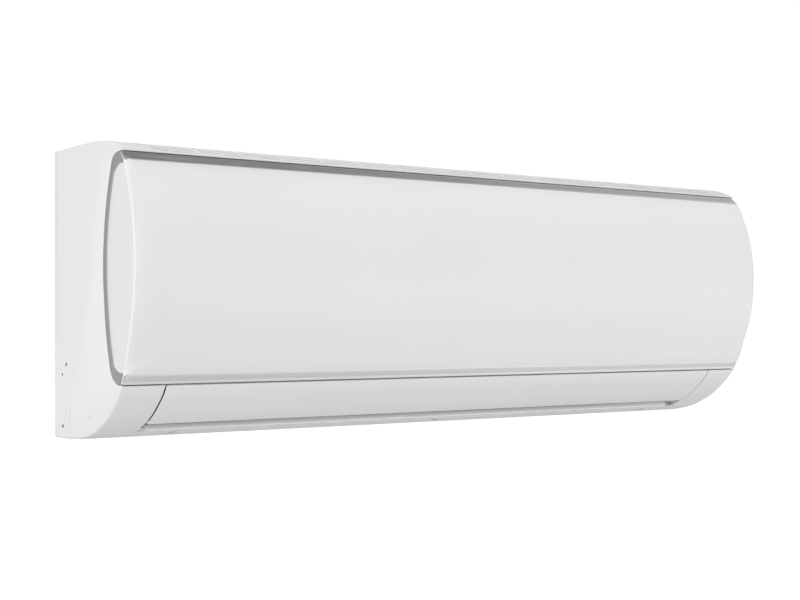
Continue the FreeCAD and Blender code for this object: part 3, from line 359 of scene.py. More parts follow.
def surface(name, base, rough=0.4, metallic=0.0, vary=0.02, vary_scale=9.0, grain=0.0, grain_scale=900.0, grain_kind="noise", rough_vary=0.05,
            coat=0.0, coat_rough=0.1, spec=0.5, stretch=(1, 1, 1), hollow_shade=0.0, second=None, second_scale=40.0, second_amount=0.0, ior=1.46):
    """Procedural finish: a base colour with slow variation, a fine surface grain in the bump, uneven gloss and painted
    shade in the hollows.
    """
    m = bpy.data.materials.new(name)
    m.use_nodes = True
    nt = m.node_tree
    N, L = nt.nodes, nt.links
    bs = N["Principled BSDF"]
    bs.inputs["Metallic"].default_value = metallic
    bs.inputs["Coat Weight"].default_value = coat
    bs.inputs["Coat Roughness"].default_value = coat_rough
    bs.inputs["Specular IOR Level"].default_value = spec
    bs.inputs["IOR"].default_value = ior
    tc = N.new("ShaderNodeTexCoord")
    mp = N.new("ShaderNodeMapping")
    mp.inputs["Scale"].default_value = stretch
    L.new(tc.outputs["Object"], mp.inputs["Vector"])
    slow = N.new("ShaderNodeTexNoise")
    slow.inputs["Scale"].default_value = vary_scale
    slow.inputs["Detail"].default_value = 3.0
    L.new(mp.outputs["Vector"], slow.inputs["Vector"])
    ramp = N.new("ShaderNodeValToRGB")
    lo = [max(0.0, c * (1 - vary)) for c in base]
    hi = [min(1.0, c * (1 + vary)) for c in base]
    ramp.color_ramp.elements[0].position, ramp.color_ramp.elements[1].position = 0.3, 0.7
    ramp.color_ramp.elements[0].color = (*lo, 1)
    ramp.color_ramp.elements[1].color = (*hi, 1)
    L.new(slow.outputs["Fac"], ramp.inputs["Fac"])
    colour = ramp.outputs["Color"]
    if second is not None:
        spots = N.new("ShaderNodeTexVoronoi")
        spots.inputs["Scale"].default_value = second_scale
        L.new(mp.outputs["Vector"], spots.inputs["Vector"])
        mx = N.new("ShaderNodeMixRGB")
        mx.blend_type = "MIX"
        sr = N.new("ShaderNodeMath")
        sr.operation = "MULTIPLY"
        sr.inputs[1].default_value = second_amount
        L.new(spots.outputs["Color"], sr.inputs[0])
        L.new(sr.outputs[0], mx.inputs["Fac"])
        L.new(colour, mx.inputs["Color1"])
        mx.inputs["Color2"].default_value = (*second, 1)
        colour = mx.outputs["Color"]
    # painted shade: the base colour darkens towards 0.55 of itself in hollows found by ambient occlusion
    if hollow_shade > 0:
        ao = N.new("ShaderNodeAmbientOcclusion")
        ao.inputs["Distance"].default_value = 0.006
        ao.samples = 4
        hollow_shade_mix = N.new("ShaderNodeMixRGB")
        inv = N.new("ShaderNodeMapRange")
        inv.inputs["From Min"].default_value = 0.2
        inv.inputs["From Max"].default_value = 0.9
        inv.inputs["To Min"].default_value = hollow_shade
        inv.inputs["To Max"].default_value = 0.0
        L.new(ao.outputs["AO"], inv.inputs["Value"])
        L.new(inv.outputs[0], hollow_shade_mix.inputs["Fac"])
        L.new(colour, hollow_shade_mix.inputs["Color1"])
        hollow_shade_mix.inputs["Color2"].default_value = (*[c * 0.55 for c in base], 1)
        colour = hollow_shade_mix.outputs["Color"]
    L.new(colour, bs.inputs["Base Color"])
    rn = N.new("ShaderNodeTexNoise")
    rn.inputs["Scale"].default_value = vary_scale * 5
    L.new(mp.outputs["Vector"], rn.inputs["Vector"])
    rr = N.new("ShaderNodeMapRange")
    rr.inputs["To Min"].default_value = max(0.02, rough - rough_vary)
    rr.inputs["To Max"].default_value = min(1.0, rough + rough_vary)
    L.new(rn.outputs["Fac"], rr.inputs["Value"])
    L.new(rr.outputs[0], bs.inputs["Roughness"])
    if grain > 0:
        if grain_kind == "noise":
            g = N.new("ShaderNodeTexNoise")
            g.inputs["Scale"].default_value = grain_scale
            g.inputs["Detail"].default_value = 2.0
            out = g.outputs["Fac"]
        else:
            g = N.new("ShaderNodeTexVoronoi")
            g.inputs["Scale"].default_value = grain_scale
            out = g.outputs["Distance"]
        L.new(mp.outputs["Vector"], g.inputs["Vector"])
        bp = N.new("ShaderNodeBump")
        bp.inputs["Strength"].default_value = grain
        bp.inputs["Distance"].default_value = 0.0002
        L.new(out, bp.inputs["Height"])
        L.new(bp.outputs["Normal"], bs.inputs["Normal"])
    return m


WHITE = (0.775, 0.775, 0.79)
M = {
    "case_white": surface("case_white", WHITE, rough=0.38, vary=0.012, grain=0.10, grain_scale=1400, grain_kind="noise", rough_vary=0.05, hollow_shade=0.25),
    "panel_white": surface("panel_white", (0.775, 0.77, 0.78), rough=0.30, vary=0.010, vary_scale=4, grain=0.03, grain_scale=600, rough_vary=0.04),
    # a brighter copy of the case white for the inlet grille: painted light
    "grille_white_lit": surface("grille_white_lit", (0.93, 0.93, 0.935), rough=0.42, vary=0.012, grain=0.10, grain_scale=1400, rough_vary=0.05, hollow_shade=0.2),
    "flap_white": surface("flap_white", (0.79, 0.785, 0.80), rough=0.34, vary=0.010, grain=0.06, grain_scale=1200, rough_vary=0.05),
    "trim_silver": surface("trim_silver", (0.655, 0.65, 0.66), rough=0.30, metallic=0.85, vary=0.02, vary_scale=14, grain=0.10, grain_scale=3500,
                           rough_vary=0.05, stretch=(0.25, 1, 1)),
    "chassis_plastic": surface("chassis_plastic", (0.42, 0.43, 0.45), rough=0.55, vary=0.03, grain=0.25, grain_scale=1600, grain_kind="voronoi", hollow_shade=0.3),
    "duct_plastic": surface("duct_plastic", (0.90, 0.90, 0.905), rough=0.45, vary=0.02, grain=0.15, grain_scale=1500, hollow_shade=0.15),
    "fan_plastic": surface("fan_plastic", (0.035, 0.037, 0.042), rough=0.42, vary=0.08, grain=0.2, grain_scale=1500, hollow_shade=0.2),
    "vane_grey": surface("vane_grey", (0.36, 0.37, 0.39), rough=0.5, vary=0.03, grain=0.18, grain_scale=1500, hollow_shade=0.2),
    "filter_mesh": surface("filter_mesh", (0.11, 0.14, 0.19), rough=0.5, vary=0.06, grain=0.15, grain_scale=1800),
    "fin_aluminium": surface("fin_aluminium", (0.58, 0.68, 0.74), rough=0.34, metallic=0.8, vary=0.05, vary_scale=30, grain=0.12, grain_scale=1200,
                             rough_vary=0.08),
    "galvanised_steel": surface("galvanised_steel", (0.56, 0.57, 0.58), rough=0.42, metallic=0.85, vary=0.05, vary_scale=12, second=(0.40, 0.42, 0.44),
                                second_scale=120.0, second_amount=0.55, grain=0.10, grain_scale=260, grain_kind="voronoi", rough_vary=0.12),
    "shaft_steel": surface("shaft_steel", (0.55, 0.55, 0.56), rough=0.22, metallic=1.0, vary=0.05, vary_scale=60, grain=0.2, grain_scale=500,
                           stretch=(8, 1, 1), rough_vary=0.08),
    "screw_steel": surface("screw_steel", (0.52, 0.52, 0.50), rough=0.30, metallic=0.95, vary=0.07, vary_scale=200, grain=0.15, grain_scale=2500,
                           rough_vary=0.1, hollow_shade=0.5),
    "motor_steel": surface("motor_steel", (0.40, 0.41, 0.42), rough=0.36, metallic=0.9, vary=0.04, vary_scale=40, grain=0.12, grain_scale=900,
                           rough_vary=0.1, hollow_shade=0.3),
    "bearing_bronze": surface("bearing_bronze", (0.42, 0.28, 0.14), rough=0.45, metallic=0.85, vary=0.1, vary_scale=150, grain=0.5, grain_scale=3000,
                              grain_kind="voronoi"),
    "copper": surface("copper", (0.72, 0.34, 0.20), rough=0.24, metallic=1.0, vary=0.10, vary_scale=35, second=(0.42, 0.19, 0.11), second_scale=55.0,
                      second_amount=0.25, grain=0.08, grain_scale=700, rough_vary=0.12),
    "brass": surface("brass", (0.74, 0.52, 0.22), rough=0.22, metallic=1.0, vary=0.06, vary_scale=60, grain=0.12, grain_scale=900, rough_vary=0.1),
    "rubber_black": surface("rubber_black", (0.018, 0.018, 0.019), rough=0.75, vary=0.15, vary_scale=60, grain=0.3, grain_scale=1500, spec=0.3),
    "hose_plastic": surface("hose_plastic", (0.60, 0.60, 0.57), rough=0.5, vary=0.04, grain=0.12, grain_scale=900),
    "circuit_board": surface("circuit_board", (0.03, 0.16, 0.07), rough=0.35, vary=0.12, vary_scale=80, second=(0.20, 0.26, 0.10), second_scale=240.0,
                             second_amount=0.5, grain=0.3, grain_scale=500, grain_kind="voronoi"),
    "component_black": surface("component_black", (0.02, 0.02, 0.023), rough=0.4, vary=0.2, vary_scale=90, grain=0.2, grain_scale=1400),
}

# ---------------------------------------------------------------------------
# camera first, so that everything is judged in the same view
# ---------------------------------------------------------------------------
cam = bpy.data.cameras.new("camera")
cam.sensor_width = 36.0
cam.lens = 61.74
cam.shift_y = 0.03076
cam.clip_start, cam.clip_end = 0.05, 50.0
co = bpy.data.objects.new("camera", cam)
bpy.context.scene.collection.objects.link(co)
co.location = (-0.93892, -1.34681, -0.031)
co.rotation_euler = (math.pi / 2, 0, -math.radians(35.2797))
bpy.context.scene.camera = co

# ---------------------------------------------------------------------------
# the opening panel: a white field in a silver band, one bowed shell
# ---------------------------------------------------------------------------
face = spline(FACE, 400)
arc = spline(ARC, 400)[::-1]                    # top to bottom
Z_TOP, Z_BOT = 120.8, -77.6                     # edges of the white field on the front
BAND = 9.5


def door_rows(g):
    """Matched rows of the front surface and of the end return's rear edge, with the rows that edge the field marked. g
    is not used.
    """
    it, ib = at_height(face, Z_TOP), at_height(face, Z_BOT)
    jt = int(np.argmin(np.linalg.norm(arc - np.array((-142.6, 121.2)), axis=1)))
    jb = int(np.argmin(np.linalg.norm(arc - np.array((-142.8, -78.8)), axis=1)))
    segs = [(face[:it + 1], arc[:jt + 1], 7), (face[it:ib + 1], arc[jt:jb + 1], 66), (face[ib:], arc[jb:], 7)]
    F, A, marks = [], [], []
    for k, (f, a, n) in enumerate(segs):
        pick = gathered if k == 1 else resample
        f, a = pick(f, n), pick(a, n)
        if k:
            f, a = f[1:], a[1:]
        F.append(f)
        A.append(a)
        marks.append(sum(len(x) for x in F) - 1)
    return np.concatenate(F), np.concatenate(A), marks[0], marks[1]


FF, AA, ROW_T, ROW_B = door_rows(0)
NF = normals(spline(FACE, 400), (-100, 20))
NN = np.array([NF[int(np.argmin(np.linalg.norm(face - p, axis=1)))] for p in FF])


def fillet_r(z):
    u = (z - 24.0) / 112.0
    return 3.2 + 11.3 * max(0.0, 1 - u * u) ** 0.9


def corner(z):
    """How far the band's inner edge has turned the field's corner at this height: 1 at the field's top and bottom edge, 0 between."""
    for d, size in ((FF[ROW_T][1] - z, 11.0), (z - FF[ROW_B][1], 9.5)):
        if d < size:
            u = 1 - max(0.0, d) / size
            return 1 - math.sqrt(max(0.0, 1 - u * u))
    return 0.0


def edge_profile(D, z, ease, n1=6, n2=9):
    """Plan of the door's end: a tight turn off the return, then an easy curve into the front. Gives (across, forward) steps."""
    g = max(0.0, min(1.0, min(Z_TOP + 1 - z, z - Z_BOT + 1) / 16.0))
    g = g * g * (3 - 2 * g) * ease
    r1 = min(3.6, 0.36 * D)
    if ease == 0:
        return [(D * (1 - math.cos(a)), D * math.sin(a)) for a in (math.pi / 2 * k / (n1 + n2) for k in range(n1 + n2 + 1))]
    x2 = D + (42.0 * min(1.0, D / 12.0) - D) * g
    phi = 1.0
    for _ in range(20):
        phi = max(0.05, math.pi / 2 - 2 * math.atan((D - r1 * math.sin(phi)) / x2))
    r2 = (D - r1 * math.sin(phi)) / (1 - math.sin(phi))
    out = []
    for k in range(n1 + 1):
        a = phi * k / n1
        out.append((r1 * (1 - math.cos(a)), r1 * math.sin(a)))
    x1, d1 = out[-1]
    for k in range(1, n2 + 1):
        a = phi + (math.pi / 2 - phi) * k / n2
        out.append((x1 + r2 * (math.cos(phi) - math.cos(a)), d1 + r2 * (math.sin(a) - math.sin(phi))))
    return out


NRET, NFRONT = 5, 26
C_FRONT = 2 + NRET + 7 + 9                      # first column of the front proper


def door_grid(wall, xw, rows, top_lip=None, bot_lip=None):
    """One skin of the door: for each row, the left return, its edge profile, the front, then the right side mirrored.
    wall is the depth behind the outer surface, xw the half width."""
    out = []
    zt, zb = FF[0][1], FF[-1][1]
    for i in rows:
        P, Q, N = FF[i], AA[i], NN[i].copy()
        z = P[1]
        e = max(0.0, 1 - min(zt - z, z - zb) / 16.0)
        e = e * e * (3 - 2 * e)
        Ne = N * (1 - e) + np.array((-1.0, 0.0)) * e
        Ne /= np.linalg.norm(Ne)
        Pw = P - N * wall
        if i == 0 and top_lip is not None:
            Pw = np.array(top_lip)
        if i == len(FF) - 1 and bot_lip is not None:
            Pw = np.array(bot_lip)
        ends = []
        for R, ease in ((fillet_r(z), 1.0), (fillet_r(z), 0.0)):
            E = Pw - Ne * R
            d = E - Q
            dl = max(np.linalg.norm(d), 1e-6)
            w = min(BAND / dl, 0.86)
            w += (0.90 - w) * corner(z) if w < 0.90 else 0.0
            row = []
            for t in [0.0, w * 0.5, w] + [w + (1 - w) * k / NRET for k in range(1, NRET)]:
                q = Q + d * t
                row.append((-xw, q[0], q[1]))
            for across, ahead in edge_profile(R, z, ease):
                q = E + Ne * ahead
                row.append((-(xw - across), q[0], q[1]))
            ends.append(row)
        row, other = ends
        inner, far = -row[-1][0], -other[-1][0]
        mids = [(-inner + (inner + far) * k / NFRONT, Pw[0], Pw[1]) for k in range(1, NFRONT)]
        right = [(-x, y, zz) for x, y, zz in other[::-1]]
        out.append(row + mids + right)
    return np.array(out)


rows_all = list(range(len(FF)))
O = door_grid(0.0, HALF, rows_all)
I = door_grid(2.5, HALF - 2.5, rows_all, top_lip=(-161.8, 129.1), bot_lip=(-164.4, -86.4))
C = O.shape[1]
mask = np.ones((len(FF) - 1, C - 1), bool)
mask[ROW_T:ROW_B, 2:C - 3] = False
# the band lies a hair lower than the white field
NO = np.zeros_like(O)
for i in range(len(FF)):
    NO[i, :, 1:] = NN[i]
Ob = O.copy()
Ob[1:-1, 14:C - 14] -= 0.45 * NO[1:-1, 14:C - 14]
b = Build()
b.thick(Ob, I, mask)
trim = b.finish("panel_band", M["trim_silver"], "panel", "trim_silver", ("panel_trim",), bevel=0.45, smooth=30)

# white field, its edge 0.3 mm inside the band's
rows_f = list(range(ROW_T, ROW_B + 1))
Of = O[rows_f][:, 2:C - 2].copy()
If = I[rows_f][:, 2:C - 2].copy()


def shrink(G, g):
    """Moves the grid's outer rows and columns inwards by g."""
    G = G.copy()
    for a, c in ((0, 1), (-1, -2)):
        d = G[c] - G[a]
        G[a] += d / np.linalg.norm(d, axis=1)[:, None] * g
        d = G[:, c] - G[:, a]
        G[:, a] += d / np.linalg.norm(d, axis=1)[:, None] * g
    return G


b = Build()
b.thick(shrink(Of, 0.3), shrink(If, 0.3))
# stiffening ribs and latch pegs behind it
inner = clip_z(np.array([p - n * 2.3 for p, n in zip(FF, NN)]), 100, -60)
inner_n = normals(inner, (-100, 20))
for x in (-390, -300, -200, -100, 0, 100, 200, 300, 390):
    prof = np.concatenate([inner, (inner - inner_n * 2.8)[::-1]])
    b.prism(prof, x - 0.8, x + 0.8, r=0, edge=0.2)
for z in (80, 45, 10, -25):
    k = at_height(inner, z)
    p, n = inner[k], inner_n[k]
    t = np.array((-n[1], n[0]))
    prof = [p + t * 0.7, p - t * 0.7, p - t * 0.6 - n * 2.6, p + t * 0.6 - n * 2.6]
    b.prism(prof, -389.5, 389.5, r=0.3, edge=0.2)
for x in (-300, 0, 300):
    peg = [(-176.0, -71.8), (-160.5, -71.8), (-157.5, -70.8), (-157.5, -69.4), (-160.5, -68.4), (-176.0, -68.4)]
    b.prism(peg, x - 4.5, x + 4.5, r=0.5, edge=0.4)
panel = b.finish("panel_field", M["panel_white"], "panel", "panel_white", ("front_panel",), bevel=0.35, smooth=30, segments=3)

# hinge arms
b = Build()
y, z = HINGE
for sgn in (-1, 1):
    arm = [(y - 3.5, z + 3.0), (y + 2.8, z + 3.0), (y + 3.4, z - 2.5), (-172.4, 98.5), (-184.0, 98.4), (-176.6, 111.6)]
    xa, xb = sorted((sgn * 397.2, sgn * 401.6))
    b.prism(arm, xa, xb, r=1.2, edge=0.3)
    b.lathe([(0, 0), (0, 3.9), (0.4, 4.2), (4.0, 4.2), (4.4, 3.9), (4.4, 2.5), (11.9, 2.5), (12.3, 2.1), (12.3, 0)], (sgn * 397.2, y, z), (sgn, 0, 0), 32)
b.finish("panel_arms", M["case_white"], "panel", "case_white", ("hinge_arms",))

# ---------------------------------------------------------------------------
# case: rounded skin, hollow inside
# ---------------------------------------------------------------------------
RIM = 2.6
T_SIDE = 3.1
brow = spline(BROW, 60)
belly = spline(BELLY, 120)
xi = int(np.argmin(np.abs(belly[:, 0] - (FLOOR1[0] + 0.6))))
roof = np.array([(0, 146), (-8, 146), (-15.6, 146), (-40, 146), (-75, 146)], float)
kb = int(np.argmin(np.abs(brow[:, 0] + 159.8)))
top_line = np.concatenate([roof, resample(brow[:kb + 1], 24)[1:], resample(brow[kb:], 7)[1:]])
ROOF_OPEN = (2, len(roof) - 1 + 23)             # rows between which the inlet lies
bot_line = np.concatenate([resample(belly[:xi + 1], 26), resample(belly[xi:], 20)[1:]])
BOT_OPEN = (0, 25)


def rim_grid(P, ref, xs, inside, half):
    """A strip of skin across the case, turned down at both ends. Rounding and wall thin out towards the door opening."""
    N = normals(P, ref)
    out = []
    nf = 5
    for p, n in zip(P, N):
        near = 1.0
        if p[0] < -150 and p[1] > 0:
            near = max(0.0, min(1.0, (p[0] + 164.2) / 9.0))
            room = (p[1] - 130.3) / 0.95
        elif p[0] < -150:
            near = max(0.0, min(1.0, (-88.2 - p[1]) / 9.0))
            room = (-87.55 - p[1]) / 0.62
        else:
            room = 99.0
        R = 0.45 + (RIM - 0.45) * near
        wall = min(2.5, room)
        if inside:
            q = p - n * wall
            r = max(R - wall, 0.25)
        else:
            q, r = p, R
        row = []
        for k in range(nf + 1):
            a = math.pi / 2 * k / nf
            c = q - n * r + n * r * math.sin(a)
            row.append((-(half - r + r * math.cos(a)), c[0], c[1]))
        row += [(x, q[0], q[1]) for x in xs]
        row += [(-x, yy, zz) for x, yy, zz in row[:nf + 1][::-1]]
        out.append(row)
    return np.array(out)


def case_strip(b, P, ref, xs, opening):
    O = rim_grid(P, ref, xs, False, HALF)
    I = rim_grid(P, ref, xs, True, HALF - T_SIDE)
    mask = np.ones((len(P) - 1, O.shape[1] - 1), bool)
    if opening:
        (r0, r1), (xa, xb) = opening
        X = O[0, :, 0]
        for j in range(O.shape[1] - 1):
            mid = (X[j] + X[j + 1]) / 2
            if xa < mid < xb:
                mask[r0:r1, j] = False
    b.thick(O, I, mask, sides=False)
    return O, I


b = Build()
xs_top = [-384.4, -300, -200, -100, 0, 100, 200, 300, 384.4]
xs_bot = [-373.2, -300, -200, -100, 0, 100, 200, 300, 372.5]
Ot, It = case_strip(b, top_line, (-80, 0), xs_top, (ROOF_OPEN, (-384.4, 384.4)))
Obm, Ibm = case_strip(b, bot_line, (-80, 0), xs_bot, (BOT_OPEN, (-373.2, 372.5)))

# side walls: flat, between the rim strips' first columns and the door's shut line
arc_n = normals(arc, (-400, 20))               # towards the back
gap_line = arc + arc_n * -0.0
gl = []
for p, n in zip(resample(arc, 60), normals(resample(arc, 60), (-300, 20))):
    gl.append(p + n * 0.8)
gap_line = np.array(gl)
side_case = []
for sgn in (-1, 1):
    # outer outline: top rim reversed from the lip to the back, then the bottom rim from the back to the flap side
    col = 0 if sgn < 0 else -1
    topo = Ot[:, col, 1:]
    boto = Obm[:, col, 1:]
    topi = It[:, col, 1:]
    boti = Ibm[:, col, 1:]
    lip_o = np.array([(-166.0, 130.15)])
    outer_poly = np.concatenate([topo, [(-163.6, 130.1), (-156.0, 129.75)], gap_line[1:-1], [(-157.6, -87.35), (-164.6, -87.35)], boto])
    inner_poly = np.concatenate([topi, [(-162.6, 130.1), (-156.0, 129.75)], gap_line[1:-1], [(-157.6, -87.35), (-163.6, -87.35)], boti])
    n = len(outer_poly)
    verts = [(sgn * HALF, p[0], p[1]) for p in outer_poly] + [(sgn * (HALF - T_SIDE), p[0], p[1]) for p in inner_poly]
    faces = [tuple(range(n)), tuple(range(2 * n - 1, n - 1, -1))]
    nt_, nb_ = len(topo), len(boto)
    for k in range(n):
        k2 = (k + 1) % n
        if k < nt_ - 1 or k >= n - nb_ and k < n - 1:
            continue                            # shared with a rim strip
        faces.append((k, k2, n + k2, n + k))
    b.add(verts, faces)


def path_cut(c, pts, w, x0, x1):
    """A narrow groove along a y-z polyline, as a cutting prism between two X planes."""
    P = np.array(pts, float)
    T = np.gradient(P, axis=0)
    T /= np.linalg.norm(T, axis=1)[:, None]
    N = np.c_[-T[:, 1], T[:, 0]]
    a, bb = P + N * w / 2, P - N * w / 2
    k = len(P)
    rings = []
    for x in (x0, x1):
        rings.append(np.c_[np.full(2 * k, x), np.concatenate([a, bb[::-1]])])
    c.rings(rings)


END_HOLES = ((-29.9, -70.9, 2.0), (-20.0, -81.3, 1.6), (-21.1, -133.2, 2.1))
cut = Build()
for sgn in (-1, 1):
    for (yy, zz, rr) in END_HOLES:
        cut.lathe([(-8, 0), (-8, rr), (8, rr), (8, 0)], (sgn * 416, yy, zz), (1, 0, 0), 24)
    for (yy, zz, rr) in ((-32.3, -132.4, 0.8), (-89.4, -120.1, 0.7), (-12.0, 128.7, 0.8)):
        cut.lathe([(-0.5, 0), (-0.5, rr), (4, rr), (4, 0)], (sgn * 417.2 - (0 if sgn > 0 else 3.5), yy, zz), (1, 0, 0), 14)
    xa, xb = sorted((sgn * 417.15, sgn * 419.0))
    for y0 in (-29.4, -40.9):
        line = [(y0, -112.5), (y0, -118.0), (y0 + 0.3, -123.0), (y0 + 1.6, -127.0), (y0 + 4.0, -130.4)]
        path_cut(cut, spline(line, 14), 0.55, xa, xb)
    path_cut(cut, [(-1.2, -135.0), (-10, -135.0), (-17.6, -135.0)], 0.55, xa, xb)
# screw pockets in the underside
for x in (-330, 0, 330):
    cut.lathe([(0, 0), (0, 3.9), (11.6, 3.9), (11.7, 0)], (x, -88.0, -150.0), (0, 0, 1), 28)
case = b.finish("case_shell", M["case_white"], "chassis", "case_white", ("front_case",), bevel=0.4, smooth=28, cut=cut.cutter())

# dark rubber plugs set just inside the end holes, painted shade that makes the holes look dark
b = Build()
for sgn in (-1, 1):
    for (yy, zz, rr) in END_HOLES:
        b.lathe([(0.5, 0), (0.5, rr - 0.35), (0.65, rr - 0.1), (3.4, rr - 0.1), (3.6, rr - 0.3), (3.6, 0)], (sgn * HALF, yy, zz), (-sgn, 0, 0), 24)
b.finish("end_hole_shade_plugs", M["rubber_black"], "chassis", "rubber_black", ())

# guide flanges behind the shut line, frame behind the panel, hinge lugs
b = Build()
mid = clip_z(spline(ARC, 200), -66, 112)
mn = normals(mid, (-300, 20))                   # towards the wall
mid = resample(mid, 36)
mn = normals(mid, (-300, 20))
poly = np.concatenate([mid - mn * 6.0, (mid + mn * 8.0)[::-1]])
for sgn in (-1, 1):
    xa, xb = sorted((sgn * 412.5, sgn * 414.4))
    b.prism(poly, xa, xb, r=0, edge=0.3)
pts = [np.array(p, float) for p in FRAME]
rows = [pts[0]]
for p, q in zip(pts[:-1], pts[1:]):
    for zc in sorted((-58.0, -65.5, -74.5, -21.0, -37.0, 120.0, 105.0, 85.0, 56.0, 25.0, -5.0), reverse=True):
        if q[1] < zc < p[1]:
            rows.append(p + (q - p) * (zc - p[1]) / (q[1] - p[1]))
    rows.append(q)
FR = np.array(rows)
fn = normals(FR, (-60, 10))
xs = sorted({-414.4, -366.0, -41.5, -35.5, 289.0, 309.0, 345.0, 414.4, 367.0, 385.0} | {v + w for v in (-300.0, 0.0, 300.0) for w in (-7.0, 7.0)})
O = np.array([[(x, p[0], p[1]) for x in xs] for p in FR])
I = np.array([[(x, p[0] - n[0] * 2.4, p[1] - n[1] * 2.4) for x in xs] for p, n in zip(FR, fn)])
mask = np.ones((len(FR) - 1, len(xs) - 1), bool)
for i in range(len(FR) - 1):
    zc = (FR[i][1] + FR[i + 1][1]) / 2
    for j in range(len(xs) - 1):
        xc = (xs[j] + xs[j + 1]) / 2
        if zc > -58 and (-366 < xc < -41.5 or -35.5 < xc < 289):
            mask[i, j] = False
        if -37 < zc < -21 and 309 < xc < 345:
            mask[i, j] = False
        if -74.5 < zc < -65.5 and min(abs(xc + 300), abs(xc), abs(xc - 300)) < 7:
            mask[i, j] = False
b.thick(O, I, mask)
b.prism([(-163.6, 130.4), (-147.1, 130.4), (-147.1, 131.8), (-163.6, 131.8)], -414.4, 414.4, r=0.5, edge=0.4)
cut = Build()
cut.lathe([(0, 0), (0, 4.5), (30, 4.5), (30, 0)], (376.0, -190.0, -38.0), (0, 1, 0), 32)
y, z = HINGE
b2 = Build()
lug = [(y - 1.5, z + 4.6), (y + 3.0, z + 4.2), (-148.0, 108.0), (-148.0, 98.0), (-159.0, 100.0), (y - 4.6, z - 2.0)]
for sgn in (-1, 1):
    xa, xb = sorted((sgn * 402.2, sgn * 407.0))
    b2.prism(lug, xa, xb, r=2.0, edge=0.3)
    cut.lathe([(0, 0), (0, 2.55), (14, 2.55), (14, 0)], (sgn * 398.0, y, z), (sgn, 0, 0), 28)
b.v, b.f = b.v, b.f
base = len(b.v)
b.v += b2.v
b.f += [tuple(i + base for i in f) for f in b2.f]
b.finish("case_frame", M["case_white"], "chassis", "case_white", (), bevel=0.35, smooth=28, cut=cut.cutter())
# end cheeks, which close the frame towards the guide flanges
zs = np.linspace(121.0, -81.0, 36)
back = spline(ARC, 200)
back = back[np.argsort(back[:, 1])]
by = np.interp(zs, back[:, 1], back[:, 0]) - 2.0
fy = np.minimum(np.interp(zs, FR[::-1, 1], FR[::-1, 0]) + 2.6, by - 0.8)
b = Build()
for sgn in (-1, 1):
    outer, inner_ = ([[(sgn * x, yf, z), (sgn * x, (yf + yb) / 2, z), (sgn * x, yb, z)] for yf, yb, z in zip(fy, by, zs)] for x in (412.4, 411.0))
    b.thick(outer, inner_)
# filled lower corners, below the guide flanges
foot = [(-163.0, -80.5), (-163.0, -87.2), (-156.5, -91.0), (-148.0, -89.2), (-141.2, -84.8), (-136.0, -78.6), (-132.9, -71.5), (-132.0, -66.9),
        (-137.2, -66.6), (-137.9, -68.8), (-140.6, -75.4), (-144.4, -79.0), (-149.8, -80.5)]
for sgn in (-1, 1):
    xa, xb = sorted((sgn * 412.6, sgn * 414.4))
    b.prism(foot, xa, xb, r=0, edge=0.3)
b.finish("frame_cheeks", M["case_white"], "chassis", "case_white", (), bevel=0.3, smooth=28)

# ---------------------------------------------------------------------------
# inlet grille
# ---------------------------------------------------------------------------
line = np.concatenate([np.array([(-16.4 - 2.0 * i, 146.0) for i in range(29)] + [(-75.0, 146.0)]), spline(BROW, 160)[1:]])
line = line[line[:, 0] > -159.1]
cum = np.r_[0, np.cumsum(np.linalg.norm(np.diff(line, axis=0), axis=1))]
total = cum[-1]


def on_line(s):
    s = max(0.0, min(total, s))
    p = np.array((np.interp(s, cum, line[:, 0]), np.interp(s, cum, line[:, 1])))
    q = np.array((np.interp(min(s + 0.4, total), cum, line[:, 0]), np.interp(min(s + 0.4, total), cum, line[:, 1])))
    o = np.array((np.interp(max(s - 0.4, 0), cum, line[:, 0]), np.interp(max(s - 0.4, 0), cum, line[:, 1])))
    t = (q - o) / np.linalg.norm(q - o)
    return p, np.array((-t[1], t[0]))


b = Build()
pitch = 6.4
nb = int((total - 3) / pitch)
pitch = (total - 2.4) / nb
for i in range(nb + 1):
    c = 1.2 + pitch * i
    (p0, n0), (p1, n1) = on_line(max(c - 0.95, 0)), on_line(min(c + 0.95, total))
    d = 2.0 if c > total - 9 else 2.6
    if n0[1] > 0:
        n0, n1 = -n0, -n1
    q0, q1 = p0 + n0 * d, p1 + n1 * d
    w = (q1 - q0) * 0.16
    b.prism([p0, p1, q1 - w, q0 + w], -384.0, 384.0, r=0.5, edge=0.3)
for k in range(17):
    x = -384.0 + (768.0 - 1.8) * k / 16
    top, low = [], []
    for j in range(25):
        p, n = on_line(total * j / 24)
        if n[1] > 0:
            n = -n
        dep = 4.6 if j < 21 else 4.6 - (j - 20) * 0.65
        top.append(p + n * 0.35)
        low.append(p + n * dep)
    b.prism(np.array(top + low[::-1]), x, x + 1.8, r=0, edge=0.3)
# the grille wears the brightened case white, which paints light onto it
b.finish("inlet_grille", M["grille_white_lit"], "chassis", "case_white", ("top_grille",), smooth=40)

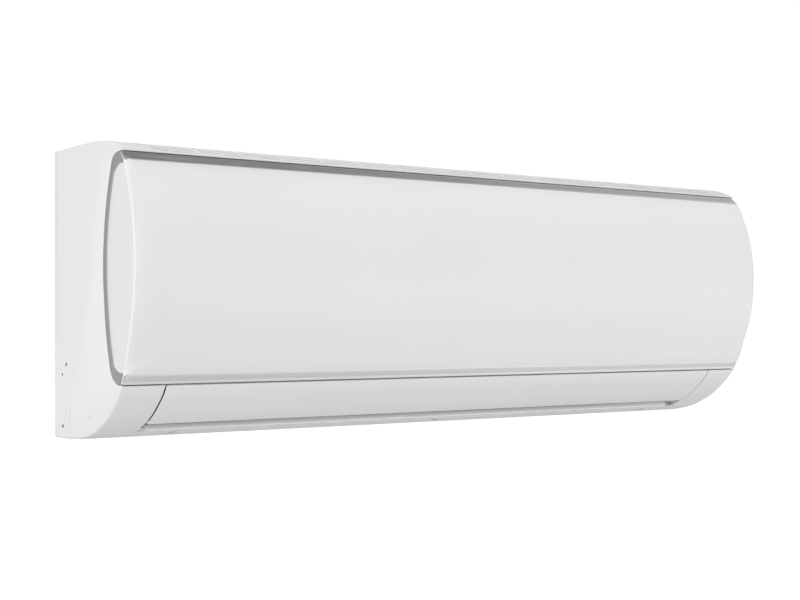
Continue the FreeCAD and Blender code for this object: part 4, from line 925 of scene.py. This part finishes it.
# ---------------------------------------------------------------------------
# outlet flap
# ---------------------------------------------------------------------------
bel = spline(BELLY, 400)
skin = bel[(bel[:, 1] < -88.45) & (bel[:, 0] < -117.5)]
skin = resample(skin, 34)
sn = normals(skin, (-100, 0))
SL = length(skin)
xs = sorted({-371.5, -371.0, -370.2, -369.0, -367.5, 371.5, 371.0, 370.2, 369.0, 367.5} | set(np.linspace(-366, 366, 25)))
O, I = [], []
step = SL / 33
for i, (p, n) in enumerate(zip(skin, sn)):
    d_lo, d_hi = SL - i * step, i * step
    r = 3.4
    w = 371.5
    if d_lo < r:
        w = 371.5 - (r - math.sqrt(max(r * r - (r - d_lo) ** 2, 0)))
    if d_hi < 1.2:
        w = 371.5 - (1.2 - math.sqrt(max(1.44 - (1.2 - d_hi) ** 2, 0)))
    O.append([(x * (w / 371.5), p[0], p[1]) for x in xs])
    I.append([(x * (w / 371.5), p[0] - n[0] * 2.4, p[1] - n[1] * 2.4) for x in xs])
b = Build()
b.thick(O, I)
y, z = FLAP_AXIS
ear = [(y - 4, z + 1.5), (y + 3.5, z + 2.5), (y + 4.2, z - 1.0), (-119.2, -124.6), (-136.0, -114.6)]
for x in (-371.4, 368.5, 2.6, -5.6):
    b.prism(ear, x, x + 2.9, r=1.6, edge=0.3)
b.lathe([(0, 0), (0, 2.2), (0.4, 2.5), (7.4, 2.5), (7.4, 0)], (-378.0, y, z), (1, 0, 0), 28)
b.lathe([(0, 0), (0, 2.5), (4.2, 2.5), (4.6, 2.2), (4.6, 0)], (370.5, y, z), (1, 0, 0), 28)
b.lathe([(0, 0), (0, 1.8), (0.2, 2.0), (7.8, 2.0), (8.0, 1.8), (8.0, 0)], (-4.0, y, z), (1, 0, 0), 24)
rin = skin[3:-3] - sn[3:-3] * 2.2
rn = sn[3:-3]
for x in np.linspace(-330, 330, 12):
    b.prism(np.concatenate([rin, (rin - rn * 1.5)[::-1]]), x - 0.6, x + 0.6, r=0, edge=0.2)
for k in (8, 16, 24):
    p, n = skin[k] - sn[k] * 2.2, sn[k]
    t = np.array((-n[1], n[0]))
    b.prism([p + t * 0.6, p - t * 0.6, p - t * 0.5 - n * 1.4, p + t * 0.5 - n * 1.4], -366, 366, r=0.2, edge=0.2)
b.finish("flap_blade", M["flap_white"], "flap", "flap_white", ("outlet_flap",), bevel=0.5, smooth=30, segments=3)

# rounded sill along the duct's lip
b = Build()
sill = [(80.5, -0.2), (80.3, 0.8), (78.6, 2.3), (75.6, 3.4), (72.0, 2.8), (68.0, 0.9), (66.0, -0.2)]
b.prism([sh(*p) for p in sill], -364.0, 364.0, r=1.0, edge=0.4)
b.finish("outlet_sill", M["duct_plastic"], "chassis", "duct_plastic", (), smooth=40)

# black rubber strips on the flap's two ends, painted shade that darkens the gaps beside the flap
b = Build()
prof = np.concatenate([skin[2:-4] - sn[2:-4] * 0.25, (skin[2:-4] - sn[2:-4] * 2.2)[::-1]])
for sgn in (-1, 1):
    xa, xb = sorted((sgn * 371.52, sgn * 371.95))
    b.prism(prof, xa, xb, r=0, edge=0.1)
b.finish("flap_gap_shade_strips", M["rubber_black"], "flap", "rubber_black", ())

# ---------------------------------------------------------------------------
# swing vanes and their link rods
# ---------------------------------------------------------------------------
VL = [-346.0 + 64 * i for i in range(5)]
VR = [-14.0 + 64 * i for i in range(5)]
D3 = (0.0, DH[0], DH[1])
for side, XS in (("l", VL), ("r", VR)):
    for i, x in enumerate(XS):
        b = Build()
        out = [(37.0, 1.2), (55.5, 1.2), (57.0, 4.0), (57.0, 46.0), (49.0, 46.0), (36.5, 26.0), (34.5, 12.5), (34.5, 10.2), (37.0, 10.2)]
        b.prism([sh(*p) for p in out], x - 0.75, x + 0.75, r=1.4, edge=0.3)
        p = sh(47.0, -5.0)
        b.lathe([(0, 0), (0, 1.7), (0.3, 2.0), (5.8, 2.0), (6.0, 3.4), (6.2, 3.6), (9.8, 3.6), (10.0, 3.3), (10.0, 0)], (x, p[0], p[1]), D3, 24)
        b.prism([sh(28.8, 10.2), sh(36.5, 10.2), sh(36.5, 12.4), sh(28.8, 12.4)], x - 2.2, x + 2.2, r=0.5, edge=0.3)
        p = sh(31.0, 5.4)
        b.lathe([(0, 0), (0, 1.0), (0.2, 1.2), (5.0, 1.2), (5.0, 0)], (x, p[0], p[1]), D3, 18)
        b.finish("swing_vane_%s%d" % (side, i + 1), M["vane_grey"], "vane_%s%d" % (side, i + 1), "vane_grey", ("vane_%s%d" % (side, i + 1),))
    b = Build()
    b.prism([sh(28.6, 6.4), sh(33.4, 6.4), sh(33.4, 9.4), sh(28.6, 9.4)], XS[0] - 5, XS[-1] + 5, r=0.5, edge=0.5)
    c = Build()
    for x in XS:
        p = sh(31.0, 4.0)
        c.lathe([(0, 0), (0, 1.45), (8, 1.45), (8, 0)], (x, p[0], p[1]), D3, 20)
    nm = "left" if side == "l" else "right"
    b.finish("swing_rod_" + nm, M["vane_grey"], "link_rod_" + nm, "vane_grey", ("vane_rod_" + nm,), cut=c.cutter())

# ---------------------------------------------------------------------------
# crossflow fan: nine sections of forward-curved blades, each section turned a little from the last
# ---------------------------------------------------------------------------
b = Build()
fy, fz = FAN
X0, X1 = -362.0, 286.0
nsec, nblade = 9, 35
for i in range(nsec):
    xa = X0 + (X1 - X0 - 2.0) * i / nsec + 1.0
    xb = X0 + (X1 - X0 - 2.0) * (i + 1) / nsec + 1.0
    for k in range(nblade):
        rings = []
        for x, tw in ((xa, 0.0), (xb, 0.05)):
            a = 2 * math.pi * (k + 0.37 * (i % 3)) / nblade + tw
            up, dn = [], []
            for j in range(6):
                f = j / 5
                r = 34.5 + (46.2 - 34.5) * f
                sweep = 0.30 * (1 - (1 - f) ** 1.7)
                th = 0.62 * (1 - 0.55 * abs(2 * f - 0.9)) + 0.12
                up.append((x, fy + r * math.cos(a + sweep + th / r), fz + r * math.sin(a + sweep + th / r)))
                dn.append((x, fy + r * math.cos(a + sweep - th / r), fz + r * math.sin(a + sweep - th / r)))
            rings.append(np.array(up + dn[::-1]))
        b.rings(rings)
for i in range(nsec + 1):
    x = X0 + (X1 - X0 - 2.0) * i / nsec
    if 0 < i < nsec:
        b.lathe([(0.2, 33.0), (0.0, 33.4), (0.0, 46.7), (0.3, 47.0), (1.7, 47.0), (2.0, 46.7), (2.0, 33.4), (1.8, 33.0)], (x, fy, fz), (1, 0, 0), 72)
    elif i == 0:
        b.lathe([(0.0, 4.0), (0.0, 46.6), (0.3, 47.0), (1.7, 47.0), (2.0, 46.7), (2.0, 10.0), (14.0, 9.6), (14.0, 4.0)], (x, fy, fz), (1, 0, 0), 72)
    else:
        b.lathe([(0.0, 12.0), (0.0, 46.6), (0.3, 47.0), (1.7, 47.0), (2.0, 46.7), (2.0, 4.0), (-22.0, 4.0), (-22.0, 11.6)], (x, fy, fz), (1, 0, 0), 72)
b.finish("fan_rotor", M["fan_plastic"], "fan", "fan_plastic", ("crossflow_fan",), smooth=35)

# ---------------------------------------------------------------------------
# evaporator: stacks of fins on copper tubes
# ---------------------------------------------------------------------------
COIL = [((-148.0, -52.0), (-162.5, 36.0)), ((-158.4, 46.3), (-113.0, 106.5)), ((-92.6, 105.6), (-39.5, 47.5))]
names = ["coil_front_lower", "coil_front_upper", "coil_rear"]
for k in range(3):
    p, q = np.array(COIL[k][0]), np.array(COIL[k][1])
    L = np.linalg.norm(q - p)
    d = (q - p) / L
    n = np.array((-d[1], d[0]))
    T = 13.0
    b = Build()
    count = 300
    outline = []
    m = 16
    for s in range(m + 1):                      # a shallow wavy long edge, as stamped fins have
        outline.append(p + d * L * s / m + n * (T - (0.25 if s % 2 else 0.0)))
    for s in range(m, -1, -1):
        outline.append(p + d * L * s / m - n * (T - (0.25 if s % 2 else 0.0)))
    outline = np.array(outline)
    N_ = len(outline)
    V_, F_ = [], []
    for i in range(count):
        x = -366.9 + (656.8 - 0.25) * i / (count - 1)
        base = len(V_)
        V_ += [(x, a, c) for a, c in outline] + [(x + 0.25, a, c) for a, c in outline]
        F_.append(tuple(base + j for j in range(N_ - 1, -1, -1)))
        F_.append(tuple(base + N_ + j for j in range(N_)))
        for j in range(N_):
            j2 = (j + 1) % N_
            F_.append((base + j, base + j2, base + N_ + j2, base + N_ + j))
    b.add(V_, F_)
    fins = b.finish("fins_" + names[k][5:], M["fin_aluminium"], "chassis", "fin_aluminium", (names[k],), smooth=20)
    t = Build()
    s0 = (L - 63.0) / 2
    for side in (-1, 1):
        for j in range(4):
            c = p + d * (s0 + 21.0 * j) + n * 6.7 * side
            t.lathe([(0, 0), (0, 3.4), (656.9, 3.4), (656.9, 0)], (-366.95, c[0], c[1]), (1, 0, 0), 18)
    tubes = t.finish("tubes_" + names[k][5:], M["copper"], "chassis", "copper", ())

# ---------------------------------------------------------------------------
# filters: moulded frame and a net
# ---------------------------------------------------------------------------
FILTER = [(-24.0, 124.5), (-60.0, 126.5), (-100.0, 127.3), (-128.0, 126.2), (-141.0, 122.0), (-149.0, 113.0), (-156.5, 101.5), (-167.5, 87.5),
          (-180.0, 62.0), (-188.2, 36.0), (-190.3, 8.0), (-187.6, -20.0), (-181.0, -43.0), (-172.0, -62.0)]
fc = spline(FILTER, 200)
fnn = normals(fc, (-100, 20))
M["filter_net"] = surface("filter_net", (0.045, 0.06, 0.085), rough=0.6, vary=0.1, vary_scale=30, grain=0.4, grain_scale=2500)
for nm, x0, x1 in (("left", -363.5, -44.0), ("right", -33.0, 286.5)):
    b = Build()
    c = resample(fc[3:-3], 60)
    cn = normals(c, (-100, 20))
    for k in range(7):
        x = x0 + (x1 - x0 - 3.0) * k / 6
        b.prism(np.concatenate([c + cn * 0.5, (c - cn * 1.7)[::-1]]), x, x + 3.0, r=0, edge=0.35)
    for f in (0.0, 0.2, 0.4, 0.6, 0.8, 1.0):
        i0 = 6 + int(f * 181)
        seg, sg = fc[i0:i0 + 7], fnn[i0:i0 + 7]
        b.prism(np.concatenate([seg + sg * 0.25, (seg - sg * 1.4)[::-1]]), x0 + 0.8, x1 - 0.8, r=0, edge=0.25)
    b.finish("filter_frame_" + nm, M["filter_mesh"], "filter_" + nm, "filter_mesh", ("filter_" + nm,), smooth=35)
    b = Build()
    g = resample(fc, 70)
    gn = normals(g, (-100, 20))
    V_, F_ = [], []
    nx = 78
    for i in range(nx):
        x = x0 + 0.8 + (x1 - x0 - 2.2) * i / (nx - 1)
        base = len(V_)
        for p, n in zip(g, gn):
            for dx, dn in ((0, 0.0), (0.55, 0.0), (0.55, 0.5), (0, 0.5)):
                V_.append((x + dx, p[0] - n[0] * (0.2 + dn), p[1] - n[1] * (0.2 + dn)))
        for j in range(len(g) - 1):
            for e in range(4):
                a, c2 = base + 4 * j + e, base + 4 * j + (e + 1) % 4
                F_.append((a, c2, c2 + 4, a + 4))
        F_.append((base + 3, base + 2, base + 1, base))
        F_.append(tuple(base + 4 * (len(g) - 1) + e for e in range(4)))
    b.add(V_, F_)
    g = resample(fc, 56)
    gn = normals(g, (-100, 20))
    for p, n in list(zip(g, gn))[1:-1]:
        t = np.array((-n[1], n[0])) * 0.28
        q = p - n * 0.35
        b.prism([q + t, q - t, q - t - n * 0.5, q + t - n * 0.5], x0 + 0.8, x1 - 0.8, r=0, edge=0.05)
    b.finish("filter_net_" + nm, M["filter_net"], "filter_" + nm, "filter_mesh", (), smooth=30)

# ---------------------------------------------------------------------------
# screws with cross recesses
# ---------------------------------------------------------------------------
def screw_set(name, places, node, axis, head, shank, dome, recess):
    b, c = Build(), Build()
    for (x, yy, zz) in places:
        hr, hh = head
        sr, sl = shank
        prof = [(0, 0)] + [(dome * (1 - math.cos(t)) , hr * math.sin(t)) for t in np.linspace(0.12, math.pi / 2, 8)]
        prof += [(hh, hr), (hh, sr)]
        s = hh
        while s + 1.0 < sl:
            prof += [(s + 0.35, sr), (s + 0.5, sr - 0.28), (s + 0.85, sr)]
            s += 1.0
        prof += [(sl - 0.4, sr), (sl, sr * 0.55), (sl, 0)]
        b.lathe(prof, (x, yy, zz), axis, 28)
        a = np.array(axis, float)
        o = np.array((x, yy, zz)) - a * 0.4
        u2 = np.array((math.cos(0.4), math.sin(0.4), 0.0))
        w2 = np.cross(a, u2)
        rings = []
        for dd, sc in ((0.0, 1.0), (0.4 + recess, 0.55)):
            L_, W_ = hr * 0.55 * sc, hr * 0.13
            cross = ((L_, -W_), (L_, W_), (W_, W_), (W_, L_), (-W_, L_), (-W_, W_), (-L_, W_), (-L_, -W_), (-W_, -W_), (-W_, -L_), (W_, -L_), (W_, -W_))
            rings.append(np.array([o + a * dd + u2 * p + w2 * q for p, q in cross]))
        c.rings(rings)
    return b.finish(name, M["screw_steel"], "chassis", "screw_steel", (node,), smooth=35, cut=c.cutter())


screw_set("underside_screws", [(x, -88.0, -140.2) for x in (-330, 0, 330)], "case_screws", (0, 0, 1), (3.4, 1.7), (1.7, 8.0), 0.8, 1.0)
screw_set("motor_screws", [(x, yy, -25.6) for x in (321, 335) for yy in (-132.6, -31.4)], "clamp_screws", (0, 0, -1), (3.2, 2.4), (1.4, 17.4), 0.9, 1.2)

# ---------------------------------------------------------------------------
# flare unions: hexagon, cut thread and nose
# ---------------------------------------------------------------------------
def flare(name, x1, yz, tube_r, thread_r, hexr, pitch_mm, node):
    b = Build()
    hexa = [(yz[0] + hexr * math.cos(math.radians(60 * k)), yz[1] + hexr * math.sin(math.radians(60 * k))) for k in range(6)]
    b.prism(hexa, x1 - 8, x1 - 0.01, r=0.5, edge=0.6)
    bore = tube_r * 0.78
    prof = [(0, bore), (0, thread_r * 0.62), (thread_r * 0.38, thread_r * 0.93)]
    s0 = thread_r * 0.38
    s = s0 + 0.3
    while s + pitch_mm < s0 + 11.6:
        prof += [(s, thread_r - pitch_mm * 0.5), (s + pitch_mm * 0.42, thread_r), (s + pitch_mm * 0.58, thread_r)]
        s += pitch_mm
    prof += [(s0 + 11.7, thread_r - pitch_mm * 0.5), (s0 + 12.6, thread_r - pitch_mm * 0.5), (s0 + 12.6, bore)]
    b.lathe(prof, (x1 - 20 - s0, yz[0], yz[1]), (1, 0, 0), 40)
    b.finish(name, M["brass"], "chassis", "brass", (node,), smooth=25)


flare("gas_flare", 128.0, (-19.0, -110.0), 4.7625, 7.9375, 11.0, 1.41, "gas_union")
flare("liquid_flare", 160.0, (-19.0, -129.0), 3.175, 5.55625, 8.6, 1.27, "liquid_union")

# ---------------------------------------------------------------------------
# carried-over CAD nodes get their procedural finishes
# ---------------------------------------------------------------------------
for node, ob in frame["nodes"].items():
    mat = M.get(SLOTS.get(node), M["chassis_plastic"])
    if len(ob.material_slots) == 0:
        ob.data.materials.append(mat)
    for s in ob.material_slots:
        s.material = mat

# ---------------------------------------------------------------------------
# floor, light
# ---------------------------------------------------------------------------
def ranged(nt, socket, a, b, c, d):
    mr = nt.nodes.new("ShaderNodeMapRange")
    mr.interpolation_type = "SMOOTHSTEP"
    nt.links.new(socket, mr.inputs["Value"])
    for name, v in (("From Min", a), ("From Max", b), ("To Min", c), ("To Max", d)):
        mr.inputs[name].default_value = v
    return mr.outputs[0]


def calc(nt, kind, a, b):
    m = nt.nodes.new("ShaderNodeMath")
    m.operation = kind
    for i, v in enumerate((a, b)):
        if isinstance(v, (int, float)):
            m.inputs[i].default_value = v
        else:
            nt.links.new(v, m.inputs[i])
    return m.outputs[0]


def blend(nt, t, a, b):
    m = nt.nodes.new("ShaderNodeMix")
    m.data_type = "FLOAT"
    for i, v in ((0, t), (2, a), (3, b)):
        if isinstance(v, (int, float)):
            m.inputs[i].default_value = v
        else:
            nt.links.new(v, m.inputs[i])
    return m.outputs[0]


def floor_material(base, near, far, front):
    m = bpy.data.materials.new("studio_floor")
    m.use_nodes = True
    nt = m.node_tree
    bs = nt.nodes["Principled BSDF"]
    bs.inputs["Base Color"].default_value = (base, base, base, 1)
    bs.inputs["Roughness"].default_value = 0.9
    bs.inputs["Specular IOR Level"].default_value = 0.1
    tc = nt.nodes.new("ShaderNodeTexCoord")
    ln = nt.nodes.new("ShaderNodeVectorMath")
    ln.operation = "LENGTH"
    nt.links.new(tc.outputs["Object"], ln.inputs[0])
    sep = nt.nodes.new("ShaderNodeSeparateXYZ")
    nt.links.new(tc.outputs["Object"], sep.inputs[0])
    glow = ranged(nt, ln.outputs["Value"], 5.2, 8.2, near, far)
    ahead = ranged(nt, sep.outputs["Y"], -0.35, -0.95, 0.0, front)
    bs.inputs["Emission Color"].default_value = (1, 1, 1, 1)
    lp = nt.nodes.new("ShaderNodeLightPath")
    seen = calc(nt, "MAXIMUM", glow, ahead)
    lit = calc(nt, "MULTIPLY", ahead, ranged(nt, sep.outputs["X"], 0.2, 2.2, 0.62, 1.06))
    nt.links.new(blend(nt, lp.outputs["Is Camera Ray"], lit, seen), bs.inputs["Emission Strength"])
    return m


bpy.ops.mesh.primitive_circle_add(vertices=96, radius=40.0, fill_type="NGON", location=(0, 0, -1.90))
floor = bpy.context.active_object
floor.name = "floor"
floor.data.materials.append(floor_material(0.50, 0.44, 0.70, 0.87))


def sky(horizon, side, front, back, behind_left):
    """A soft studio dome: bright at eye level, gentler above the front, darker above the back and behind the left end, with a plain backdrop."""
    w = bpy.data.worlds.new("studio")
    bpy.context.scene.world = w
    w.use_nodes = True
    nt = w.node_tree
    N, L = nt.nodes, nt.links
    tc = N.new("ShaderNodeTexCoord")
    unit = N.new("ShaderNodeVectorMath")
    unit.operation = "NORMALIZE"
    L.new(tc.outputs["Generated"], unit.inputs[0])
    sep = N.new("ShaderNodeSeparateXYZ")
    L.new(unit.outputs[0], sep.inputs[0])
    x, y, z = (sep.outputs[k] for k in "XYZ")
    high = ranged(nt, z, 0.36, 0.76, 0.0, 1.0)
    gloom = calc(nt, "MULTIPLY", ranged(nt, y, -0.28, 0.18, 0.0, 1.0), ranged(nt, y, 0.43, 0.56, 1.0, 0.0))
    above = blend(nt, gloom, front, ranged(nt, x, 0.45, 0.85, back, 0.50))
    above = calc(nt, "MULTIPLY", above, ranged(nt, z, 0.78, 0.96, 1.0, 0.50))
    level = ranged(nt, x, -0.85, -0.25, side, horizon)
    dome = blend(nt, high, level, above)
    patch = calc(nt, "MULTIPLY", ranged(nt, y, 0.45, 0.75, 0.0, 1.0), ranged(nt, x, 0.10, -0.20, 0.0, 1.0))
    dome = blend(nt, patch, dome, behind_left)
    lp = N.new("ShaderNodeLightPath")
    bg = N["Background"]
    bg.inputs["Color"].default_value = (1.0, 1.0, 1.0, 1)
    L.new(blend(nt, lp.outputs["Is Camera Ray"], dome, 1.02), bg.inputs["Strength"])


sky(0.575, 0.99, 1.80, 0.05, 0.31)


def area(name, loc, target, size, energy, size_y=None):
    d = bpy.data.lights.new(name, "AREA")
    d.shape = "RECTANGLE"
    d.size, d.size_y, d.energy = size, size_y or size, energy
    o = bpy.data.objects.new(name, d)
    bpy.context.scene.collection.objects.link(o)
    o.location = loc
    o.rotation_euler = (Vector(target) - Vector(loc)).to_track_quat("-Z", "Y").to_euler()
    return o


area("box_left", (-2.62, 0.50, 0.16), (-0.4, -0.12, 0.02), 0.75, 21.0, 1.8)

bpy.context.scene.view_settings.view_transform = "Standard"
bpy.context.scene.view_settings.look = "None"
